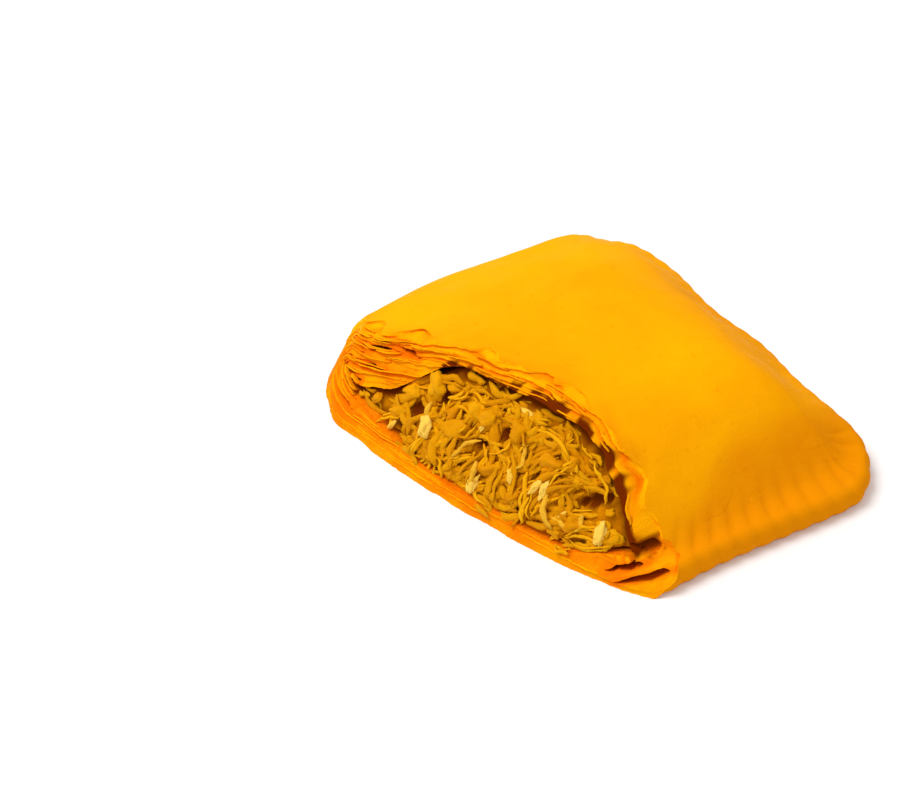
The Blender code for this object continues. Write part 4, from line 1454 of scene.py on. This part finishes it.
flakes = {
    "seed": 23,
    "spacing": 2.6,
    "keep": 0.62,
    "lengths": (5.0, 17.0),
    "heights": (0.25, 1.25),  # how far they stand out
    "rooted": 0.9,
    "lowHeight": 0.3,  # share of that in the lower crust
    "thickness": 0.2,
    "curls": (-0.45, 0.9),
    "lift": 0.2,
    "liftSteps": 6.0,
    "uneven": (0.8, 0.5),  # how uneven the torn edge is, coarse and fine, and over how many steps
    "unevenSteps": (7.0, 2.5),
    "endShare": 0.04,
    "step": 0.5,
    "leastSteps": 6,
    "sharpestTurn": 0.8,
    "flattest": 0.25,
    "margins": (0.4, 0.2),  # clear of the pocket, for a leaf's middle and for the rest of it
    "floor": 1.2,  # clear of the underside
    "underTop": 0.6,  # and of the skin
    "cellsOut": 4,
    "ends": (14.0, 97.0),
}


def layerFrame(tree, y, z):
    spot, _, _, out = faceFrame(y, z)
    normal = tree.find_nearest(spot)[1]
    thick = normal - out * normal.dot(out)
    if thick.length < flakes["flattest"]:
        return None
    thick.normalize()
    return spot - Vector((-1.0, 0.0, 0.0)) * rawEdge(y, z), out, thick


def inDough(y, z, spare):
    x = cutX(y, z)
    if not flakes["floor"] < z < dome(x, y) - flakes["underTop"]:
        return False
    if z < pocketFloor(x, y) - spare or z > pocketTop(x, y) + spare:
        return True
    return y > parcel["width"] - pocket["insetFold"]


def leafAt(y, z, spare):
    return flakes["ends"][0] < y < flakes["ends"][1] and inDough(y, z, spare)


def layerPath(tree, y, z, length):  # follows one layer both ways from its middle
    middle = layerFrame(tree, y, z)
    if middle is None:
        return []
    path = [middle]
    for sign in (1.0, -1.0):
        spotY, spotZ, last = y, z, middle
        for _ in range(int(length / 2 / flakes["step"])):
            run = last[1].cross(last[2]) * sign * flakes["step"]
            spotY, spotZ = spotY + run.y, spotZ + run.z
            if not leafAt(spotY, spotZ, flakes["margins"][1]):
                break
            step = layerFrame(tree, spotY, spotZ)
            if step is None or step[2].dot(last[2]) < flakes["sharpestTurn"]:
                break
            last = step
            path.insert(len(path) if sign > 0.0 else 0, step)
    return path


def leaf(path, height, curl, phase):
    bm = newGrid(len(path) - 1, flakes["cellsOut"])
    bmesh.ops.solidify(bm, geom=bm.faces[:], thickness=flakes["thickness"])
    steps = len(path)
    (coarse, fine), (coarseSteps, fineSteps) = flakes["uneven"], flakes["unevenSteps"]
    inset = flakes["endShare"]
    for vert in bm.verts:
        share = clamp((vert.co.x + 1.0) / 2)
        outward = clamp((vert.co.y + 1.0) / 2)
        spot, out, thick = path[round(share * (steps - 1))]
        torn = 1.0 + coarse * ripple(share * steps / coarseSteps, phase)
        torn += fine * ripple(share * steps / fineSteps, phase)
        ends = math.sin(math.pi * clamp(inset + (1.0 - 2.0 * inset) * share)) ** 0.5
        proud = height * clamp(torn) * ends
        lift = flakes["lift"] * ripple(share * steps / flakes["liftSteps"], phase, 5.0) * outward
        lift += curl * proud * outward ** 2
        vert.co = spot + out * lerp(-flakes["rooted"], proud, outward) + thick * (lift + vert.co.z)
    return bm


def buildFlakes(collection, tree):
    draw = random.Random(flakes["seed"])
    pile = Pile("crustFlakes")
    for y, z in spreadSpots(draw, flakes["spacing"]):
        keep = draw.random() < flakes["keep"]
        length = draw.uniform(*flakes["lengths"])
        height = draw.uniform(*flakes["heights"])
        curl = draw.uniform(*flakes["curls"])
        tone = draw.random()
        phase = draw.uniform(0.0, phases)
        if not keep or not leafAt(y, z, flakes["margins"][0]):
            continue
        path = layerPath(tree, y, z, length)
        if len(path) < flakes["leastSteps"]:
            continue
        height *= lerp(flakes["lowHeight"], 1.0, past(z, *layers["calmEnd"]))
        pile.add(leaf(path, height, curl, phase), tone)
    return pile.finish(collection)


# Materials

def connect(tree, value, socket):  # a link or a fixed value
    if isinstance(value, bpy.types.NodeSocket):
        tree.links.new(value, socket)
    else:
        socket.default_value = value


def addNode(tree, kind, **inputs):
    made = tree.nodes.new(kind)
    for name, value in inputs.items():
        connect(tree, value, made.inputs[name.replace("_", " ")])
    return made


def useGroup(tree, name, **inputs):
    made = tree.nodes.new("ShaderNodeGroup")
    made.node_tree = groups[name]
    for label, value in inputs.items():
        connect(tree, value, made.inputs[label.replace("_", " ")])
    return made.outputs[0]


def colorMix(tree, factor, first, second):
    mix = tree.nodes.new("ShaderNodeMix")
    mix.data_type = "RGBA"
    mix.clamp_factor = True
    sockets = {socket.identifier: socket for socket in (*mix.inputs, *mix.outputs)}
    for name, value in (("Factor_Float", factor), ("A_Color", first), ("B_Color", second)):
        connect(tree, value, sockets[name])
    return sockets["Result_Color"]


def mathNode(tree, operation, first, second=0.0, clampIt=False):
    made = tree.nodes.new("ShaderNodeMath")
    made.operation = operation
    made.use_clamp = clampIt
    connect(tree, first, made.inputs[0])
    connect(tree, second, made.inputs[1])
    return made.outputs[0]


def rangeNode(tree, value, low, high, toHigh=1.0):
    made = addNode(tree, "ShaderNodeMapRange", Value=value, From_Min=low, From_Max=high, To_Max=toHigh)
    made.interpolation_type = "SMOOTHSTEP"
    return made.outputs["Result"]


def noiseNode(tree, place, scale, detail=2.0, roughness=0.5, distortion=0.0):
    made = addNode(
        tree, "ShaderNodeTexNoise", Vector=place, Scale=scale, Detail=detail, Roughness=roughness,
        Distortion=distortion,
    )
    return made.outputs[0]


def readMark(tree, name, output="Fac"):
    made = tree.nodes.new("ShaderNodeAttribute")
    made.attribute_name = name
    return made.outputs[output]


def newGroup(name, result, resultKind, **inputs):
    group = bpy.data.node_groups.new(name, "ShaderNodeTree")
    kinds = {1: "NodeSocketFloat", 3: "NodeSocketVector", 4: "NodeSocketColor"}
    for label, value in {"Vector": (0.0, 0.0, 0.0), **inputs}.items():
        kind = kinds[len(value) if isinstance(value, tuple) else 1]
        socket = group.interface.new_socket(label.replace("_", " "), in_out="INPUT", socket_type=kind)
        socket.default_value = value
    group.interface.new_socket(result, in_out="OUTPUT", socket_type=resultKind)
    ends = group.nodes.new("NodeGroupInput").outputs
    return group, ends, group.nodes.new("NodeGroupOutput").inputs[result]


def ovenGroup():  # baked colour: blotches between two colours and small darker specks
    group, ends, result = newGroup(
        "ovenColour", "Color", "NodeSocketColor", Pale=(1.0, 1.0, 1.0, 1.0), Deep=(0.5, 0.5, 0.5, 1.0),
        Speck=(0.2, 0.1, 0.0, 1.0), Bake=0.0, Blotch_Size=60.0, Blotch_Amount=0.3, Speck_Size=500.0,
        Speck_Amount=0.3,
    )
    blotch = noiseNode(group, ends["Vector"], ends["Blotch Size"], 4.0, 0.6)
    swing = mathNode(group, "MULTIPLY", mathNode(group, "SUBTRACT", blotch, 0.5), ends["Blotch Amount"])
    baked = mathNode(group, "ADD", ends["Bake"], mathNode(group, "MULTIPLY", swing, 2.0), True)
    color = colorMix(group, baked, ends["Pale"], ends["Deep"])
    speck = noiseNode(group, ends["Vector"], ends["Speck Size"], 3.0, 0.7)
    mask = mathNode(group, "MULTIPLY", rangeNode(group, speck, 0.6, 0.74), ends["Speck Amount"])
    group.links.new(colorMix(group, mask, color, ends["Speck"]), result)
    return group


def grainGroup():  # fine height for bump: crumb, longer wrinkles, and the edges of thin leaves
    group, ends, result = newGroup(
        "pastryGrain", "Height", "NodeSocketFloat", Crumb_Size=1500.0, Crumb_Share=1.0, Wrinkle_Size=300.0,
        Wrinkle_Share=0.5, Leaf_Size=40.0, Leaf_Share=0.0,
    )

    def sized(name, detail, distortion=0.0):
        return noiseNode(group, ends["Vector"], ends[f"{name} Size"], detail, 0.55, distortion)

    leafPhase = mathNode(group, "FRACT", mathNode(group, "MULTIPLY", sized("Leaf", 2.0, 0.4), 9.0))
    wear = rangeNode(group, noiseNode(group, ends["Vector"], 70.0), 0.42, 0.6)
    worn = mathNode(group, "MULTIPLY", rangeNode(group, leafPhase, 0.0, 0.14), wear)
    height = mathNode(group, "MULTIPLY", sized("Crumb", 3.0), ends["Crumb Share"])
    for relief, share in ((sized("Wrinkle", 2.0, 0.6), "Wrinkle Share"), (worn, "Leaf Share")):
        height = mathNode(group, "ADD", height, mathNode(group, "MULTIPLY", relief, ends[share]))
    group.links.new(height, result)
    return group


def greaseGroup():  # roughness that drops where fat has soaked through
    group, ends, result = newGroup(
        "greaseSheen", "Roughness", "NodeSocketFloat", Size=120.0, Dry=0.6, Greasy=0.35,
    )
    share = rangeNode(group, noiseNode(group, ends["Vector"], ends["Size"], 3.0, 0.6), 0.4, 0.65)
    spread = mathNode(group, "MULTIPLY", mathNode(group, "SUBTRACT", ends["Greasy"], ends["Dry"]), share)
    group.links.new(mathNode(group, "ADD", ends["Dry"], spread), result)
    return group


groups = {"oven": ovenGroup(), "grain": grainGroup(), "grease": greaseGroup()}
# dark orange-red, for specks and for painted shade in seams and gaps
layerSpeckAndShade = (0.80, 0.105, 0.0006, 1.0)
# painted shade colour for the roof gap and the cracks
gapShadeColor = (0.15, 0.019, 0.0003, 1.0)
looks = {  # sizes are noise scales: a larger number makes finer marks
    "skin": {
        "oven": {
            "Pale": (0.93, 0.385, 0.001, 1.0), "Deep": (0.76, 0.245, 0.001, 1.0),
            "Speck": (0.62, 0.15, 0.001, 1.0),
            "Blotch_Size": 55.0, "Blotch_Amount": 0.45, "Speck_Size": 420.0, "Speck_Amount": 0.22,
        },
        "grease": {"Size": 90.0, "Dry": 0.62, "Greasy": 0.42},
        "grain": {
            "Crumb_Size": 1300.0, "Crumb_Share": 0.35, "Wrinkle_Size": 210.0, "Wrinkle_Share": 0.9,
            "Leaf_Size": 34.0, "Leaf_Share": 0.4,
        },
        "bump": {"Strength": 0.4, "Distance": 0.0004},
    },
    "layers": {
        "oven": {
            "Pale": (0.97, 0.41, 0.001, 1.0), "Deep": (0.86, 0.18, 0.001, 1.0), "Speck": layerSpeckAndShade,
            "Blotch_Size": 130.0, "Blotch_Amount": 0.8, "Speck_Size": 900.0, "Speck_Amount": 0.15,
        },
        "grease": {"Size": 200.0, "Dry": 0.7, "Greasy": 0.45},
        "grain": {"Crumb_Size": 2200.0, "Wrinkle_Size": 900.0, "Wrinkle_Share": 0.8},
        "bump": {"Strength": 0.6, "Distance": 0.0003},
        "behind": (0.5, 3.5, 0.75),  # painted shade, darker in the gaps: from this deep to that deep, and how much
        # painted shade along the open seams between layers
        "seam": 0.62,
        "looseTone": 0.6,
    },
    "lining": {
        "oven": {
            "Pale": (0.92, 0.24, 0.001, 1.0), "Deep": (0.66, 0.11, 0.0006, 1.0), "Speck": layerSpeckAndShade,
            "Bake": 0.5,
            "Blotch_Size": 200.0, "Blotch_Amount": 1.0, "Speck_Size": 800.0, "Speck_Amount": 0.4,
        },
        "grease": {"Size": 150.0, "Dry": 0.5, "Greasy": 0.25},
        "grain": {"Crumb_Size": 1200.0, "Wrinkle_Size": 400.0, "Wrinkle_Share": 1.0},
        "bump": {"Strength": 0.5, "Distance": 0.0004},
        # painted shade deeper in the pocket: from this deep to that deep, towards the dark colour
        "behind": (1.0, 4.0),
        "dark": (0.14, 0.018, 0.0003, 1.0),
        "specular": 0.02,
    },
    "meat": {
        "oven": {
            "Deep": (0.78, 0.325, 0.001, 1.0), "Speck": (0.28, 0.075, 0.001, 1.0), "Blotch_Size": 260.0,
            "Speck_Size": 700.0, "Speck_Amount": 0.25,
        },
        "grease": {"Size": 300.0, "Dry": 0.5, "Greasy": 0.25},
        "grain": {"Crumb_Size": 1800.0, "Wrinkle_Size": 700.0, "Wrinkle_Share": 1.0},
        "bump": {"Strength": 0.5, "Distance": 0.0003},
        "tint": (1.0, 0.7, 0.25),
        "streakRange": (0.45, 0.7),
        "streakDepth": 1.5,
        # painted shade colour for the deepest parts of the core
        "coreShade": (0.15, 0.024, 0.0003, 1.0),
        "dark": (0.60, 0.205, 0.0006, 1.0),
        "golden": (0.78, 0.325, 0.001, 1.0),
        "light": (0.77, 0.35, 0.002, 1.0),
        "strand": (0.80, 0.41, 0.006, 1.0),
        "pale": (0.90, 0.58, 0.09, 1.0),
        "paleDeep": (0.82, 0.45, 0.03, 1.0),
    },
}


def newFinish(name, specular=0.005, tint=(1.0, 0.6, 0.15)):
    material = bpy.data.materials.new(name)
    material.use_nodes = True
    tree = material.node_tree
    shader = tree.nodes["Principled BSDF"]
    shader.inputs["Specular IOR Level"].default_value = specular
    shader.inputs["Specular Tint"].default_value = (*tint, 1.0)
    return material, tree, shader, tree.nodes.new("ShaderNodeTexCoord").outputs["Object"]


def finishFood(tree, shader, place, look, shown, dents=None):  # colour, greasy sheen and fine relief
    tree.links.new(shown, shader.inputs["Base Color"])
    rough = useGroup(tree, "grease", Vector=place, **look["grease"])
    tree.links.new(rough, shader.inputs["Roughness"])
    height = useGroup(tree, "grain", Vector=place, **look["grain"])
    if dents:
        height = mathNode(tree, "SUBTRACT", height, dents)
    bump = addNode(tree, "ShaderNodeBump", Height=height, **look["bump"])
    tree.links.new(bump.outputs["Normal"], shader.inputs["Normal"])


def skinFinish():
    material, tree, shader, place = newFinish("bakedSkin")
    shown = useGroup(tree, "oven", Vector=place, Bake=readMark(tree, "bake"), **looks["skin"]["oven"])
    finishFood(tree, shader, place, looks["skin"], shown)
    return material


def layerFinish(name="tornLayers", loose=False):
    look = looks["layers"]
    material, tree, shader, place = newFinish(name)
    if loose:
        bake = mathNode(tree, "MULTIPLY", readMark(tree, "tone"), look["looseTone"])
        dark = 0.0
    else:
        # painted shade: darker deeper in the gaps and along the open seams
        bake = readMark(tree, "layerBake")
        seam = mathNode(tree, "MULTIPLY", readMark(tree, "seam"), look["seam"])
        dark = mathNode(tree, "ADD", rangeNode(tree, readMark(tree, "behind"), *look["behind"]), seam, True)
    shown = colorMix(tree, dark, useGroup(tree, "oven", Vector=place, Bake=bake, **look["oven"]), layerSpeckAndShade)
    if not loose:
        shown = colorMix(tree, readMark(tree, "gapShade"), shown, gapShadeColor)
    finishFood(tree, shader, place, look, shown)
    return material


def liningFinish():
    look = looks["lining"]
    material, tree, shader, place = newFinish("shadedLining", look["specular"])
    # painted shade deeper in the pocket, and in the roof gap
    deep = rangeNode(tree, readMark(tree, "behind"), *look["behind"])
    shown = colorMix(tree, deep, useGroup(tree, "oven", Vector=place, **look["oven"]), look["dark"])
    shown = colorMix(tree, readMark(tree, "gapShade"), shown, gapShadeColor)
    finishFood(tree, shader, place, look, shown)
    return material


def meatFinish(name, low, high, blotch, bake=0.1, streaks=0.0, specular=0.05):
    look = looks["meat"]
    material, tree, shader, place = newFinish(name, specular, look["tint"])
    base = colorMix(tree, readMark(tree, "tone"), look[low], look[high])
    shown = useGroup(tree, "oven", Vector=place, Pale=base, Bake=bake, Blotch_Amount=blotch, **look["oven"])
    dents = None
    if streaks:
        streak = noiseNode(tree, readMark(tree, "strand", "Vector"), 3.2, 3.0, 0.6)
        shade = rangeNode(tree, streak, *look["streakRange"], streaks)
        shown = colorMix(tree, shade, shown, look["dark"])
        dents = mathNode(tree, "MULTIPLY", shade, look["streakDepth"])
    finishFood(tree, shader, place, look, shown, dents)
    return material


def floorFinish():
    material, tree, shader, place = newFinish("paleFloor", 0.2, (1.0, 1.0, 1.0))
    cloud = colorMix(tree, noiseNode(tree, place, 4.0), studio["floorLow"], studio["floorHigh"])
    tree.links.new(cloud, shader.inputs["Base Color"])
    shader.inputs["Roughness"].default_value = 0.7
    return material


def dress(obj, *materials):
    for material in materials:
        obj.data.materials.append(material)


# Studio: pale floor, a big soft key from the upper left, even light all round, and the photo's view

studio = {
    "floorSize": 14.0,
    "floorLow": (0.86, 0.86, 0.86, 1.0),
    "floorHigh": (0.89, 0.89, 0.89, 1.0),
    "worldStrength": 0.74,
    "keyFrom": (-0.20, 0.16, 0.61),
    "keySize": 0.35,
    "keyPower": 2.9,
    "azimuth": -32.321,
    "elevation": 46.277,
    "roll": -0.88,
    "distance": 0.462235,
    "aim": (-0.025348, 0.016166, 0.010),
    "lens": 80.83,
    "sensor": 36.0,
}


def buildStudio():
    scene = bpy.context.scene
    mesh = meshOf(newGrid(8, 8, studio["floorSize"] / 2), "studioFloor")
    floor = newObject("studioFloor", mesh, scene.collection)
    dress(floor, floorFinish())

    world = bpy.data.worlds.new("studioWorld")
    world.use_nodes = True
    world.node_tree.nodes["Background"].inputs["Color"].default_value = (1.0, 1.0, 1.0, 1.0)
    world.node_tree.nodes["Background"].inputs["Strength"].default_value = studio["worldStrength"]
    scene.world = world

    lamp = bpy.data.lights.new("key", "AREA")
    lamp.shape = "DISK"
    lamp.size = studio["keySize"]
    lamp.energy = studio["keyPower"]
    key = newObject("key", lamp, scene.collection)
    key.location = studio["keyFrom"]
    key.rotation_euler = Vector(studio["keyFrom"]).to_track_quat("Z", "Y").to_euler()

    azimuth, elevation, roll = (math.radians(studio[name]) for name in ("azimuth", "elevation", "roll"))
    back = Vector((
        math.sin(azimuth) * math.cos(elevation),
        -math.cos(azimuth) * math.cos(elevation),
        math.sin(elevation),
    ))
    level = Vector((math.cos(azimuth), math.sin(azimuth), 0.0))
    right = level * math.cos(roll) + back.cross(level) * math.sin(roll)
    lens = bpy.data.cameras.new("camera")
    lens.lens = studio["lens"]
    lens.sensor_width = studio["sensor"]
    lens.sensor_fit = "HORIZONTAL"
    lens.clip_start = 0.01
    camera = newObject("camera", lens, scene.collection)
    turn = Matrix((right, back.cross(right), back)).transposed().to_4x4()
    camera.matrix_world = Matrix.Translation(Vector(studio["aim"]) + back * studio["distance"]) @ turn
    scene.camera = camera
    scene.view_settings.view_transform = "Standard"


def buildPatty():
    patty = newCollection("patty")
    tools = newCollection("tools")

    crust, tree = buildCrust(patty, tools, (skinFinish(), layerFinish(), liningFinish()))
    crust.data.shade_smooth()
    crust.data.set_sharp_from_angle(angle=math.radians(50.0))
    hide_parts("pastry_crust")
    print("crust", len(crust.data.polygons))

    leaves = buildFlakes(patty, tree)
    dress(leaves, layerFinish("looseLeaves", loose=True))
    print("flakes", len(leaves.data.polygons))

    # the core runs from painted shade to the dark meat colour
    coreFinish = meatFinish("meatCore", "coreShade", "dark", 0.0, 0.0, specular=0.01)
    core = buildCore(patty, tools, coreFinish)
    core.data.shade_smooth()
    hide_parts("meat_filling")
    meat = [core]
    for piece, finish in (
        (buildShreds("meatShreds", shreds, patty), ("meatShreds", "dark", "light", 0.5, 0.1, 0.4)),
        (buildShreds("meatThreads", threads, patty), ("meatThreads", "golden", "strand", 0.4)),
        (buildLightStrands(patty), ("lightStrands", "golden", "paleDeep", 0.2, 0.1, 0.3)),
        (buildLumps(patty), ("meatLumps", "dark", "light", 0.8)),
        (buildPaleChunks(patty), ("paleMeat", "paleDeep", "pale", 0.2)),
    ):
        dress(piece, meatFinish(*finish))
        meat.append(piece)
    print("filling", *(len(piece.data.polygons) for piece in meat))

    for piece, slotName in [(crust, "crust"), (leaves, "crust")] + [(piece, "filling") for piece in meat]:
        settle(piece)
        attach(piece, "root")
    bpy.data.collections.remove(tools)


buildStudio()
print("studio ready")
buildPatty()
print("patty ready")
